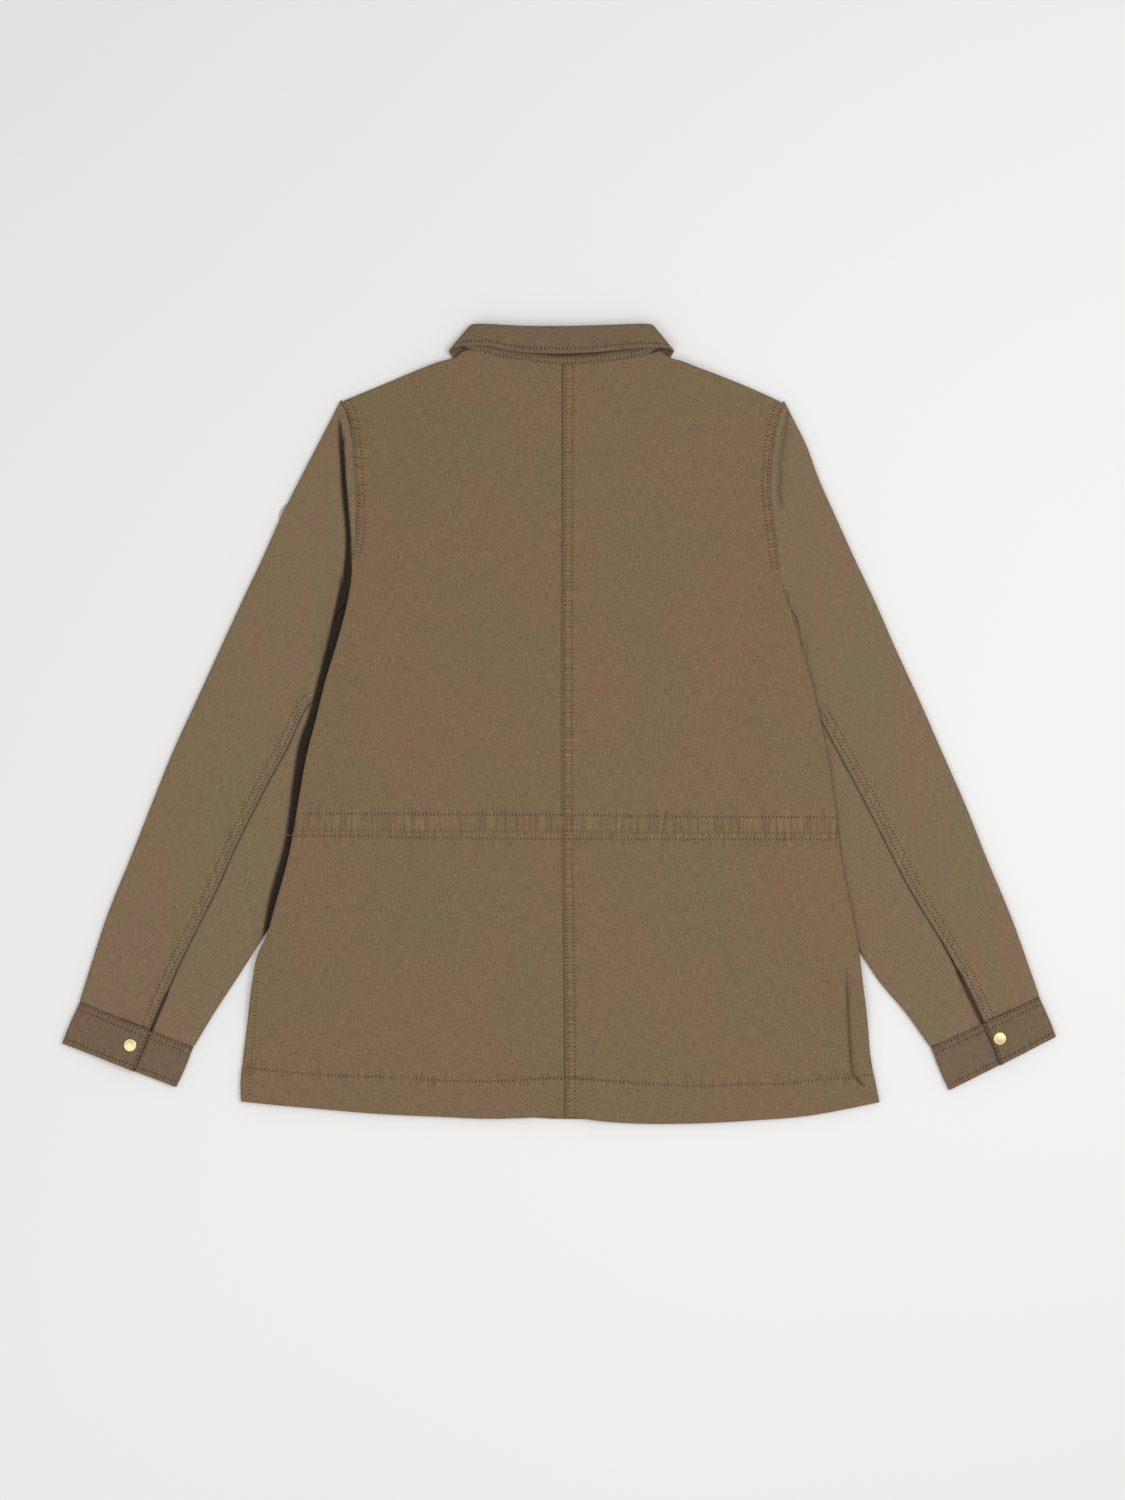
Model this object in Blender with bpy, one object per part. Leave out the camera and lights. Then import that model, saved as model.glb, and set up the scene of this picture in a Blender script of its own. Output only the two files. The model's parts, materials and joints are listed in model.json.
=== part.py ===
"""A safari jacket laid flat on its front, back upwards, with its collar folded down.

Every cloth piece is a grid of points on its middle surface, worked out from the outline tables
and the heights below, and then given its thickness along its own normals.  All sizes are in
millimetres.  X runs to the jacket's right as it lies, Y towards the collar, Z up.
"""

import math

import bpy
import numpy as np
from mathutils import Matrix

MM = 0.001

CLOTH = 1.2
HEM_CLOTH = 1.8
STIFF_CLOTH = 2.0
SEAM_GAP = 0.3
HEAD_SEAM_GAP = 0.8
STEEP = 0.5
HEM_DEPTH = 36.0

FRONT_LEVEL = 0.6
BACK_LEVEL = 3.8
SLEEVE_TUCKED_LEVEL = 2.7
SLEEVE_FREE_LEVEL = 4.3
SLEEVE_LIFT = 3.6
NECK_LIFT = 3.2
PLACKET_HALF_WIDTH = 15.0

WAIST_BAND = (259.5, 281.5)
WAIST_BAND_RISE = 0.5
GATHER_DEPTH = 0.3

NECK_COLUMN = 0.45
UNDERARM_FRACTION = 0.8
HEAD_SEAM_SHARE = 0.94

SNAP_DIAMETER = 12.0
SNAP_HEIGHT = 1.8
BADGE_DIAMETER = 30.0
BADGE_THICKNESS = 1.2

# Side edge and armhole of each half, from the hem corner up to the shoulder point: x, y.
EDGE = {
    "left": [
        (-296.7, 17.5), (-297.2, 32.2), (-295.3, 55.2), (-290.7, 92.0), (-286.1, 128.8),
        (-281.5, 151.8), (-275.1, 165.6), (-264.0, 202.4), (-253.9, 239.2), (-243.8, 294.4),
        (-237.4, 331.2), (-228.2, 368.0), (-219.0, 404.8), (-207.9, 441.6), (-198.7, 478.4),
        (-195.0, 506.0), (-195.0, 518.0), (-192.3, 533.6), (-190.9, 570.4), (-192.3, 588.8),
        (-195.0, 625.6), (-200.6, 651.4), (-206.1, 660.6),
    ],
    "right": [
        (289.8, 16.6), (286.6, 32.2), (282.4, 55.2), (278.8, 92.0), (274.2, 128.8),
        (269.6, 165.6), (262.2, 202.4), (254.8, 239.2), (248.4, 294.4), (242.9, 331.2),
        (235.5, 368.0), (227.2, 404.8), (216.2, 441.6), (207.0, 473.8), (200.6, 492.2),
        (198.7, 505.1), (196.4, 524.4), (194.1, 544.6), (190.0, 575.0), (190.9, 605.4),
        (195.0, 634.8), (199.6, 651.4), (203.3, 659.6),
    ],
}
UNDERARM_Y = {"left": 518.0, "right": 505.1}

# Shoulder line from the neck point to the shoulder point: x, y.
SHOULDER = {
    "left": [
        (-92.0, 706.6), (-102.1, 700.1), (-114.1, 696.9), (-127.9, 691.8), (-155.5, 680.8),
        (-183.1, 669.8), (-206.1, 660.6),
    ],
    "right": [
        (88.3, 706.1), (98.4, 700.1), (107.6, 697.8), (120.5, 692.8), (148.1, 682.6),
        (175.7, 671.6), (203.3, 659.6),
    ],
}

# Neck seam of the back, from the centre out to the neck point: x, y.
BACK_NECK = {
    "left": [
        (-1.4, 693.7), (-17.5, 695.1), (-34.0, 697.4), (-49.7, 699.7), (-67.2, 703.1),
        (-81.9, 706.6), (-92.0, 706.6),
    ],
    "right": [(-1.4, 693.7), (23.9, 694.9), (43.2, 697.4), (60.7, 699.8), (79.1, 703.3), (88.3, 706.1)],
}

# Neck seam of the front, from past the centre out to the neck point: x, y.
FRONT_NECK = {
    "left": [(15.0, 621.5), (0.0, 620.1), (-31.3, 627.4), (-58.9, 648.6), (-79.1, 676.2), (-92.0, 706.6)],
    "right": [(-15.0, 621.5), (0.0, 620.1), (31.3, 627.4), (58.9, 648.6), (77.1, 676.2), (88.3, 706.1)],
}

# Hem edge from the centre out to the hem corner: x, y.
BACK_HEM = {
    "left": [
        (0.9, 5.5), (-22.1, 3.7), (-58.9, 1.8), (-118.7, 3.7), (-173.9, 6.4), (-229.1, 11.0),
        (-270.5, 14.7), (-296.7, 17.5),
    ],
    "right": [
        (0.9, 5.5), (19.3, 1.8), (46.9, -1.4), (106.7, -2.8), (171.1, 0.0), (226.3, 4.6),
        (267.7, 12.0), (289.8, 16.6),
    ],
}
FRONT_HEM = {
    "left": [(15.0, 1.4), (-58.9, 3.4), (-118.7, 5.4), (-173.9, 8.0), (-229.1, 12.2), (-296.7, 17.5)],
    "right": [(-15.0, 1.4), (46.9, 0.6), (106.7, -0.8), (171.1, 2.0), (226.3, 6.2), (289.8, 16.6)],
}

# Rows of a body panel up to the underarm: y at the centre, y at the side edge.  Above it the
# rows end at the points of the armhole.
BACK_ROWS = [
    (5.5, 17.5), (38.0, 45.0), (41.0, 48.0), (90.0, 95.0), (140.0, 142.0), (180.0, 182.0),
    (220.0, 222.0), (257.0, 257.5), (260.5, 261.0), (280.5, 279.5), (283.5, 283.0),
    (325.0, 322.0), (365.0, 360.0), (400.0, 392.0), (435.0, 422.0), (465.0, 450.0),
    (490.0, 478.0),
]
FRONT_ROWS = [
    (1.4, 17.5), (38.0, 45.0), (41.0, 48.0), (90.0, 95.0), (140.0, 142.0), (180.0, 182.0),
    (220.0, 222.0), (270.0, 270.0), (325.0, 322.0), (365.0, 360.0), (400.0, 392.0),
    (435.0, 422.0), (465.0, 450.0), (485.0, 478.0),
]
WIDEST_COLUMN = 0.08

# Sleeve stations from the shoulder to the cuff, at the outer and inner folds, with the back
# seam's share of the width and the seam's opening there.
SLEEVE = {
    "left": [
        # outer x, outer y, inner x, inner y, seam share, opening
        (-226.3, 621.0, -209.5, 450.0, 0.912, 0.8),
        (-242.9, 588.8, -212.0, 438.0, 0.90, 0.8),
        (-260.4, 553.8, -213.0, 425.0, 0.90, 0.7),
        (-277.8, 515.2, -211.0, 408.0, 0.88, 0.5),
        (-295.3, 478.4, -206.0, 386.0, 0.85, 0.4),
        (-316.5, 432.4, -201.0, 358.0, 0.70, 0.3),
        (-337.6, 386.4, -206.0, 320.0, 0.64, 0.3),
        (-358.8, 340.4, -219.0, 279.7, 0.60, 0.3),
        (-380.0, 288.0, -240.1, 228.2, 0.57, 0.3),
        (-395.6, 248.4, -262.2, 191.4, 0.585, 0.3),
        (-421.4, 184.0, -299.9, 131.6, 0.60, 0.4),
        (-433.6, 146.5, -321.5, 98.5, 0.615, 0.9),
        (-445.3, 109.5, -340.4, 67.2, 0.63, 1.0),
    ],
    "right": [
        (222.6, 621.0, 220.5, 448.0, 0.946, 1.0),
        (234.6, 588.8, 222.5, 436.0, 0.94, 1.0),
        (250.2, 553.8, 222.0, 423.0, 0.937, 0.9),
        (267.7, 515.2, 218.0, 406.0, 0.936, 0.9),
        (285.2, 478.4, 212.0, 385.0, 0.93, 0.9),
        (305.4, 432.4, 207.0, 357.0, 0.76, 0.6),
        (326.6, 386.4, 209.5, 320.0, 0.66, 0.3),
        (346.8, 340.4, 217.0, 277.0, 0.587, 0.3),
        (369.8, 288.0, 231.8, 227.2, 0.54, 0.3),
        (387.3, 243.8, 254.8, 185.8, 0.53, 0.4),
        (412.2, 184.0, 288.4, 129.7, 0.495, 0.8),
        (424.6, 149.5, 314.4, 98.5, 0.51, 2.2),
        (437.0, 114.1, 336.7, 67.2, 0.525, 2.4),
    ],
}
FRONT_SEAM_SHARE = 0.45
SIDESTEP_REACH = 12.0
HEAD_ROWS = 4
# How far from the inner fold each of the upper stations turns to meet it squarely.
SLEEVE_APPROACH = (14.0, 14.0, 13.0, 11.0, 8.0)

# The sleeve head rows, measured outwards and downwards from the armhole seam at shares of its
# length: the crest of the seam's strip, the bottom of the crease beside it, and the shoulder
# where the sleeve's own surface starts.
HEAD_SHARES = (0.0, 0.1, 0.2, 0.41, 0.51, 0.71, 0.8, 1.0)
HEAD_CREST = ((2.6, 5.0), (7.0, 3.5), (11.0, 0.0), (7.3, 0.0), (6.6, 0.0), (4.0, 0.0), (3.5, 1.0), (1.5, 1.0))
HEAD_CREASE = ((4.6, 9.0), (9.8, 6.0), (13.5, 0.0), (10.5, 0.0), (10.5, 0.0), (8.0, 0.0), (7.0, 2.0), (2.8, 2.5))
HEAD_SHOULDER = (
    (6.8, 13.2), (13.0, 9.0), (17.0, 0.0), (15.0, 0.0), (15.0, 0.0), (12.0, 0.0), (10.5, 3.0), (4.0, 4.0)
)
CREASE_LEVEL = {"left": 2.4, "right": 3.3}
ARMHOLE_TAIL = {
    "left": [(-197.0, 508.0), (-199.0, 493.0), (-201.0, 480.2), (-206.0, 457.0)],
    "right": [(201.6, 499.0), (204.8, 488.0), (207.8, 477.0), (214.5, 455.0)],
}

# Cuff corners, the place of the lapped end as a share of the width, and the snap's centre.
CUFF = {
    "left": {
        "outer_top": (-445.3, 109.5), "inner_top": (-340.4, 67.2),
        "outer_bottom": (-461.8, 71.3), "inner_bottom": (-356.0, 30.6),
        "end_share": 0.64, "snap": (-397.7, 69.9),
    },
    "right": {
        "outer_top": (437.0, 114.1), "inner_top": (336.7, 67.2),
        "outer_bottom": (452.6, 77.3), "inner_bottom": (353.3, 27.6),
        "end_share": 0.525, "snap": (399.6, 75.9),
    },
}
CUFF_LAP = 18.0
CUFF_LOWER_LEVEL = 1.0
CUFF_UPPER_LEVEL = 3.9
CUFF_LAP_LEVEL = 6.2

BADGE_CENTRE = (-247.3, 554.0)
BADGE_CLEAR_RADIUS = 26.0

# Collar stations round the neck, from the left front end to the back and on to the right front
# end.  The turn says which way the layers stack: 90 up, 0 outwards, -90 down.
COLLAR_MIDDLE = 5.5
STAND_OFFSET = 1.7
LEAF_OFFSET = 4.5
COLLAR = [
    # turn, neck x, neck y, fold x, fold y, leaf edge x, leaf edge y, outward side
    (-90, -3.0, 620.4, -3.0, 658.0, -14.0, 606.0, -1),
    (-90, -31.3, 627.7, -30.0, 667.0, -46.0, 618.0, -1),
    (-90, -58.9, 648.9, -57.0, 686.0, -78.0, 646.0, -1),
    (-90, -79.1, 676.6, -74.0, 709.0, -95.0, 676.0, -1),
    (-90, -88.0, 700.0, -79.5, 725.0, -99.5, 697.0, -1),
    (-45, -90.0, 709.0, -80.5, 729.5, -100.8, 704.0, -1),
    (0, -90.2, 710.5, -81.0, 730.5, -101.0, 706.0, -1),
    (45, -89.0, 709.5, -80.8, 731.0, -100.0, 708.0, -1),
    (90, -82.5, 707.2, -78.0, 731.3, -93.5, 710.5, -1),
    (90, -67.2, 703.4, -66.0, 731.0, -74.0, 711.0, -1),
    (90, -49.7, 700.0, -49.7, 730.0, -53.0, 706.9, -1),
    (90, -34.0, 697.7, -34.0, 729.4, -34.0, 704.5, -1),
    (90, -17.5, 695.4, -17.5, 729.3, -17.5, 703.8, -1),
    (90, -1.4, 694.2, -1.4, 729.3, -1.4, 703.6, 1),
    (90, 23.9, 695.4, 23.9, 729.8, 23.9, 704.6, 1),
    (90, 43.2, 697.9, 43.2, 730.4, 43.2, 706.3, 1),
    (90, 60.7, 700.3, 60.7, 731.0, 63.0, 708.0, 1),
    (90, 77.0, 703.6, 72.5, 731.4, 86.0, 709.2, 1),
    (45, 84.0, 709.0, 76.8, 731.0, 95.5, 707.6, 1),
    (0, 86.3, 710.0, 77.2, 730.5, 96.3, 706.2, 1),
    (-45, 86.0, 708.5, 76.8, 729.5, 96.2, 704.0, 1),
    (-90, 84.2, 699.5, 75.5, 725.0, 95.5, 697.0, 1),
    (-90, 77.1, 676.6, 71.5, 709.0, 92.0, 676.0, 1),
    (-90, 58.9, 648.9, 56.0, 686.0, 77.0, 646.0, 1),
    (-90, 31.3, 627.7, 30.0, 667.0, 46.0, 618.0, 1),
    (-90, 3.0, 620.4, 3.0, 658.0, 14.0, 606.0, 1),
]

# Regions that raise the body: the sleeves tucked under its sides, and the collar's front half.
TUCKED_REGION = {
    "left": [
        (-213.0, 455.0), (-213.0, 425.0), (-211.0, 408.0), (-206.0, 386.0), (-201.0, 358.0),
        (-206.0, 320.0), (-219.0, 279.7), (-240.1, 228.2), (-262.2, 191.4), (-299.9, 131.6),
        (-330.0, 131.6), (-330.0, 440.0),
    ],
    "right": [
        (222.0, 455.0), (222.0, 423.0), (218.0, 406.0), (212.0, 385.0), (207.0, 357.0),
        (209.5, 320.0), (217.0, 277.0), (231.8, 227.2), (254.8, 185.8), (288.4, 129.7),
        (330.0, 129.7), (330.0, 440.0),
    ],
}
TUCKED_MARGIN = (20.0, 60.0)
COLLAR_REGION = [
    (-106.0, 712.0), (-106.0, 696.0), (-97.0, 668.0), (-78.0, 640.0), (-46.0, 612.0), (0.0, 600.0),
    (46.0, 612.0), (77.0, 640.0), (95.0, 668.0), (103.0, 696.0), (103.0, 712.0),
]
COLLAR_MARGIN = (10.0, 72.0)

CLOTH_COLOUR = (0.196, 0.136, 0.076)
COLLAR_COLOUR = (0.168, 0.115, 0.066)
CUFF_COLOUR = (0.178, 0.124, 0.078)
SLEEVE_COLOUR = (0.204, 0.145, 0.084)
BRASS_COLOUR = (0.80, 0.66, 0.36)
BADGE_COLOUR = (0.55, 0.50, 0.40)


def smooth(low, high, value):
    """Rise from 0 at low to 1 at high with level ends."""
    share = np.clip((np.asarray(value, float) - low) / (high - low), 0.0, 1.0)
    return share * share * (3.0 - 2.0 * share)


def along(points, share):
    """Point at a share of a path's length."""
    path = np.asarray(points, float)
    steps = np.hypot(*np.diff(path, axis=0).T)
    travelled = np.concatenate(([0.0], np.cumsum(steps))) / steps.sum()
    return np.array([np.interp(share, travelled, path[:, 0]), np.interp(share, travelled, path[:, 1])])


def edge_x(side, y):
    """Side edge's x at a height up the jacket."""
    table = np.asarray(EDGE[side])
    return float(np.interp(y, table[:, 1], table[:, 0]))


def distance_outside(region, point):
    """Distance from a point to a region, 0 inside it."""
    corners = np.asarray(region, float)
    following = np.roll(corners, -1, axis=0)
    spans = following - corners
    reach = np.asarray(point, float) - corners
    share = np.clip((reach * spans).sum(axis=1) / (spans * spans).sum(axis=1), 0.0, 1.0)
    nearest = np.hypot(*(reach - share[:, None] * spans).T).min()
    crossing = (corners[:, 1] > point[1]) != (following[:, 1] > point[1])
    rise = np.where(spans[:, 1] == 0.0, 1.0, spans[:, 1])
    crossing_x = corners[:, 0] + (point[1] - corners[:, 1]) / rise * spans[:, 0]
    inside = (crossing & (point[0] < crossing_x)).sum() % 2 == 1
    return 0.0 if inside else float(nearest)


def body_lift(point):
    """How far the body is raised by the sleeves and the collar that lie under it."""
    side = "left" if point[0] < 0.0 else "right"
    over_sleeve = 1.0 - smooth(*TUCKED_MARGIN, distance_outside(TUCKED_REGION[side], point))
    over_collar = 1.0 - smooth(*COLLAR_MARGIN, distance_outside(COLLAR_REGION, point))
    return float(SLEEVE_LIFT * over_sleeve + NECK_LIFT * over_collar)


def hem_share(y):
    """1 in the turned hem, 0 above it."""
    return float(1.0 - smooth(HEM_DEPTH + 2.5, HEM_DEPTH + 4.5, y))


def cloth_thickness(y):
    """Wall of a body panel, thicker where the hem is turned."""
    return CLOTH + (HEM_CLOTH - CLOTH) * hem_share(y)


def front_level(point):
    """Height of the front's middle surface."""
    return FRONT_LEVEL + body_lift(point) + (HEM_CLOTH - CLOTH) / 2.0 * hem_share(point[1])


def lapped_front_level(point):
    """Height of the front that laps over the other one at the centre."""
    lap = 1.0 - smooth(PLACKET_HALF_WIDTH + 3.0, PLACKET_HALF_WIDTH + 18.0, abs(point[0]))
    return front_level(point) + float(lap) * (cloth_thickness(point[1]) + 0.4)


def back_level(point):
    """Height of the back's middle surface, without the waist band."""
    centre = float(1.0 - smooth(30.0, 60.0, abs(point[0])))
    collar = 1.0 - float(smooth(*COLLAR_MARGIN, distance_outside(COLLAR_REGION, point)))
    in_hem = hem_share(point[1])
    return BACK_LEVEL + body_lift(point) + in_hem * (0.4 + 1.3 * centre) + 0.4 * centre + 0.2 * collar


def waist_band_rise(point, column):
    """The drawstring channel's raised band with its gathers."""
    low, high = WAIST_BAND
    in_band = smooth(low - 0.5, low + 0.5, point[1]) * (1.0 - smooth(high - 0.5, high + 0.5, point[1]))
    gather = GATHER_DEPTH * (0.5 if column % 2 else -0.5)
    return float(in_band) * (WAIST_BAND_RISE + gather)


def badge_rise(point):
    """How far the badge raises the under ply of the sleeve that it is sewn to."""
    away = math.hypot(point[0] - BADGE_CENTRE[0], point[1] - BADGE_CENTRE[1])
    lift = BADGE_THICKNESS + SEAM_GAP
    return lift * float(1.0 - smooth(BADGE_CLEAR_RADIUS, 2.2 * BADGE_CLEAR_RADIUS, away))


def sleeve_level(side, point):
    """Height of the sleeve's upper ply, low where it lies under the body."""
    away = distance_outside([(0.0, 0.0)] + EDGE[side][:17] + [(0.0, 518.0)], point)
    rise = SLEEVE_FREE_LEVEL - SLEEVE_TUCKED_LEVEL
    return SLEEVE_TUCKED_LEVEL + rise * float(smooth(8.0, 32.0, away))


def make_material(name, colour, roughness, metallic=0.0):
    material = bpy.data.materials.new(name)
    material.use_nodes = True
    shader = material.node_tree.nodes["Principled BSDF"]
    shader.inputs["Base Color"].default_value = (*colour, 1.0)
    shader.inputs["Roughness"].default_value = roughness
    shader.inputs["Metallic"].default_value = metallic
    material.diffuse_color = (*colour, 1.0)
    return material


def add_object(name, vertices, faces, material):
    mesh = bpy.data.meshes.new(name)
    mesh.from_pydata([tuple(v * MM for v in vertex) for vertex in vertices], [], faces)
    mesh.materials.append(material)
    mesh.shade_smooth()
    mesh.set_sharp_from_angle(angle=math.radians(40.0))
    piece = bpy.data.objects.new(name, mesh)
    bpy.context.collection.objects.link(piece)
    return piece


def grid_normals(grid):
    """Unit normals of a grid of points, from its rows to its columns."""
    down = np.gradient(grid, axis=0)
    across = np.gradient(grid, axis=1)
    normals = np.cross(down, across)
    return normals / np.linalg.norm(normals, axis=2, keepdims=True)


def add_wall(name, grid, thickness, material):
    """Close a grid of middle points into one solid wall."""
    grid = np.asarray(grid, float)
    half = np.broadcast_to(np.asarray(thickness, float), grid.shape[:2])[..., None] / 2.0
    normals = grid_normals(grid)
    for border_normals in (normals[0], normals[-1], normals[:, 0], normals[:, -1]):
        steep = np.abs(border_normals[:, 2]) < STEEP
        border_normals[steep, 2] = 0.0
        border_normals /= np.linalg.norm(border_normals, axis=1, keepdims=True)
    rows, columns = grid.shape[:2]
    outer = (grid + normals * half).reshape(-1, 3)
    inner = (grid - normals * half).reshape(-1, 3)
    count = rows * columns

    def index(row, column):
        return row * columns + column

    faces = []
    for row in range(rows - 1):
        for column in range(columns - 1):
            corners = (
                index(row, column), index(row + 1, column),
                index(row + 1, column + 1), index(row, column + 1),
            )
            faces.append(corners)
            faces.append(tuple(count + corner for corner in reversed(corners)))
    border = [index(row, 0) for row in range(rows)]
    border += [index(rows - 1, column) for column in range(1, columns)]
    border += [index(row, columns - 1) for row in range(rows - 2, -1, -1)]
    border += [index(0, column) for column in range(columns - 2, 0, -1)]
    for start, end in zip(border, border[1:] + border[:1]):
        faces.append((end, start, count + start, count + end))
    return add_object(name, np.concatenate((outer, inner)), faces, material)


def fold_angles():
    """Angles round half of a side fold, ending half a seam gap short of its middle."""
    return [math.radians(angle) for angle in (30.0, 60.0, 82.0)]


def path_shares(points):
    """Share of a path's length at each of its points."""
    steps = np.hypot(*np.diff(np.asarray(points, float), axis=0).T)
    return [0.0] + [float(share) for share in np.cumsum(steps) / steps.sum()]


def column_shares(neck, shoulder):
    """Columns of a body panel: one at each point of its top edge, and more between."""
    fixed = [NECK_COLUMN * share for share in path_shares(neck)]
    fixed += [NECK_COLUMN + (1.0 - NECK_COLUMN) * share for share in path_shares(shoulder)[1:]]
    shares = []
    for start, end in zip(fixed, fixed[1:]):
        count = math.ceil((end - start) / WIDEST_COLUMN)
        shares += [start + (end - start) * step / count for step in range(count)]
    return shares + [1.0]


def body_panel(side, rows, hem, neck, level, direction):
    """Grid of one body panel: a patch between its four edges, folded at the side and shoulder.

    The direction is -1 for a back, whose folds run down, and 1 for a front.
    """
    outward = -1.0 if side == "left" else 1.0
    fold = (BACK_LEVEL - FRONT_LEVEL) / 2.0
    inset = fold + CLOTH / 2.0
    shoulder = SHOULDER[side]
    shares = column_shares(neck, shoulder)

    def shoulder_normal(share):
        tilt = math.radians(22.0) * float(smooth(NECK_COLUMN - 0.02, NECK_COLUMN + 0.05, share))
        return np.array([outward * math.sin(tilt), math.cos(tilt)])

    def top(share):
        if share <= NECK_COLUMN:
            point = along(neck, share / NECK_COLUMN)
        else:
            point = along(shoulder, (share - NECK_COLUMN) / (1.0 - NECK_COLUMN))
        corner_inset = np.array([-outward * inset * share ** 8, 0.0])
        return point - inset * shoulder_normal(share) + corner_inset

    def bottom(share):
        point = along(hem, share)
        return point + np.array([-outward * inset * share, 0.0])

    def side_edge(y):
        return np.array([edge_x(side, y) - outward * inset, y])

    seam_step = np.array([outward * SEAM_GAP / 2.0, 0.0]) if direction < 0 else np.zeros(2)
    low, high = bottom(0.0), top(0.0)
    corner_low, corner_high = bottom(1.0), top(1.0)
    stations = list(rows)
    last_centre, last_edge = stations[-1]
    for _, y in EDGE[side]:
        if UNDERARM_Y[side] - 1.0 < y < corner_high[1] - 3.0:
            rise = (y - last_edge) / (corner_high[1] - last_edge)
            stations.append((last_centre + (high[1] - last_centre) * rise, y))
    stations.append((high[1], corner_high[1]))
    folds = [(0.0, 0.0)] + [(math.sin(a), 1.0 - math.cos(a)) for a in fold_angles()]
    grid = []
    for station, (centre_y, edge_y) in enumerate(stations):
        up = (centre_y - stations[0][0]) / (stations[-1][0] - stations[0][0])
        centre = low + (high - low) * up
        if station == 0:
            side_point = corner_low
        elif station == len(stations) - 1:
            side_point = corner_high
        else:
            side_point = side_edge(edge_y)
        row_folds = folds if station == len(stations) - 1 else folds[:1]
        for top_reach, top_drop in row_folds:
            row = []
            for column, share in enumerate(shares):
                ruled = (1.0 - share) * centre + share * side_point
                crossed = (1.0 - up) * bottom(share) + up * top(share)
                corners = (1.0 - up) * ((1.0 - share) * low + share * corner_low)
                corners = corners + up * ((1.0 - share) * high + share * corner_high)
                point = ruled + crossed - corners + (1.0 - share) * seam_step
                point = point + fold * top_reach * shoulder_normal(share)
                column_folds = folds if column == len(shares) - 1 else folds[:1]
                for side_reach, side_drop in column_folds:
                    place = point + np.array([outward * fold * side_reach, 0.0])
                    in_fold = 1.0 - smooth(UNDERARM_Y[side] - 30.0, UNDERARM_Y[side], place[1])
                    in_shoulder = smooth(NECK_COLUMN - 0.01, NECK_COLUMN + 0.06, share)
                    half = (back_level(place) - front_level(place)) / 2.0
                    drop = half * min(1.0, side_drop * float(in_fold) + top_drop * float(in_shoulder))
                    z = level(place) + direction * drop
                    if direction < 0:
                        z += waist_band_rise(place, column)
                    row.append((place[0], place[1], z))
            grid.append(row)
    grid = np.array(grid)
    thickness = [[cloth_thickness(point[1]) for point in row] for row in grid]
    faces_up = side == "right"
    if not faces_up:
        grid = grid[:, ::-1]
        thickness = [row[::-1] for row in thickness]
    return grid[::-1], thickness[::-1]


def armhole_path(side):
    """The armhole seam's line from the shoulder point down past the underarm."""
    table = [point for point in EDGE[side] if point[1] >= UNDERARM_Y[side] - 0.01]
    return [(x, y - 0.5) for x, y in reversed(table)]


def head_point(side, offsets, share):
    """Point of a sleeve head row at a share of its length."""
    outward = -1.0 if side == "left" else 1.0
    if share <= UNDERARM_FRACTION:
        base = along(armhole_path(side), share / UNDERARM_FRACTION)
    else:
        tail = [tuple(armhole_path(side)[-1])] + ARMHOLE_TAIL[side]
        base = along(tail, (share - UNDERARM_FRACTION) / (1.0 - UNDERARM_FRACTION))
    if offsets is None:
        return base
    out = np.interp(share, HEAD_SHARES, [offset[0] for offset in offsets])
    fall = np.interp(share, HEAD_SHARES, [offset[1] for offset in offsets])
    return base + np.array([outward * out, -fall])


def sleeve_rows(side):
    """Each row of the sleeve: its line, its upper and lower heights, seam share and opening."""
    crease = CREASE_LEVEL[side]

    def on_strip(share):
        return 1.0 - float(smooth(UNDERARM_FRACTION, UNDERARM_FRACTION + 0.1, share))

    def head_line(offsets):
        return lambda share: head_point(side, offsets, share)

    def seam_upper(share, point):
        return SLEEVE_TUCKED_LEVEL + (back_level(point) - SLEEVE_TUCKED_LEVEL) * on_strip(share)

    def seam_lower(share, point):
        return FRONT_LEVEL + (front_level(point) - FRONT_LEVEL) * on_strip(share)

    def flat_lower(share, point):
        return FRONT_LEVEL + badge_rise(point)

    def crease_upper(share, point):
        near_shoulder = 1.0 - float(smooth(0.0, 0.12, share))
        return crease + (BACK_LEVEL - 0.2 - crease) * near_shoulder

    def shoulder_upper(share, point):
        return SLEEVE_FREE_LEVEL - 0.3 - 1.2 * float(smooth(0.6, 0.85, share))

    rows = [
        (head_line(None), seam_upper, seam_lower, HEAD_SEAM_SHARE, HEAD_SEAM_GAP),
        (head_line(HEAD_CREST), seam_upper, flat_lower, HEAD_SEAM_SHARE, HEAD_SEAM_GAP),
        (head_line(HEAD_CREASE), crease_upper, flat_lower, HEAD_SEAM_SHARE, HEAD_SEAM_GAP),
        (head_line(HEAD_SHOULDER), shoulder_upper, flat_lower, HEAD_SEAM_SHARE, HEAD_SEAM_GAP),
    ]
    outward = -1.0 if side == "left" else 1.0
    for station, (outer_x, outer_y, inner_x, inner_y, seam, opening) in enumerate(SLEEVE[side]):
        path = [(outer_x, outer_y), (inner_x, inner_y)]
        if station < len(SLEEVE_APPROACH):
            path.insert(1, (inner_x + outward * SLEEVE_APPROACH[station], inner_y + 1.0))
        rows.append((
            lambda share, path=path: along(path, share),
            lambda share, point: sleeve_level(side, point), flat_lower, seam, opening,
        ))
    return rows


def row_length(line):
    points = np.array([line(step / 20.0) for step in range(21)])
    return float(np.hypot(*np.diff(points, axis=0).T).sum())


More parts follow.
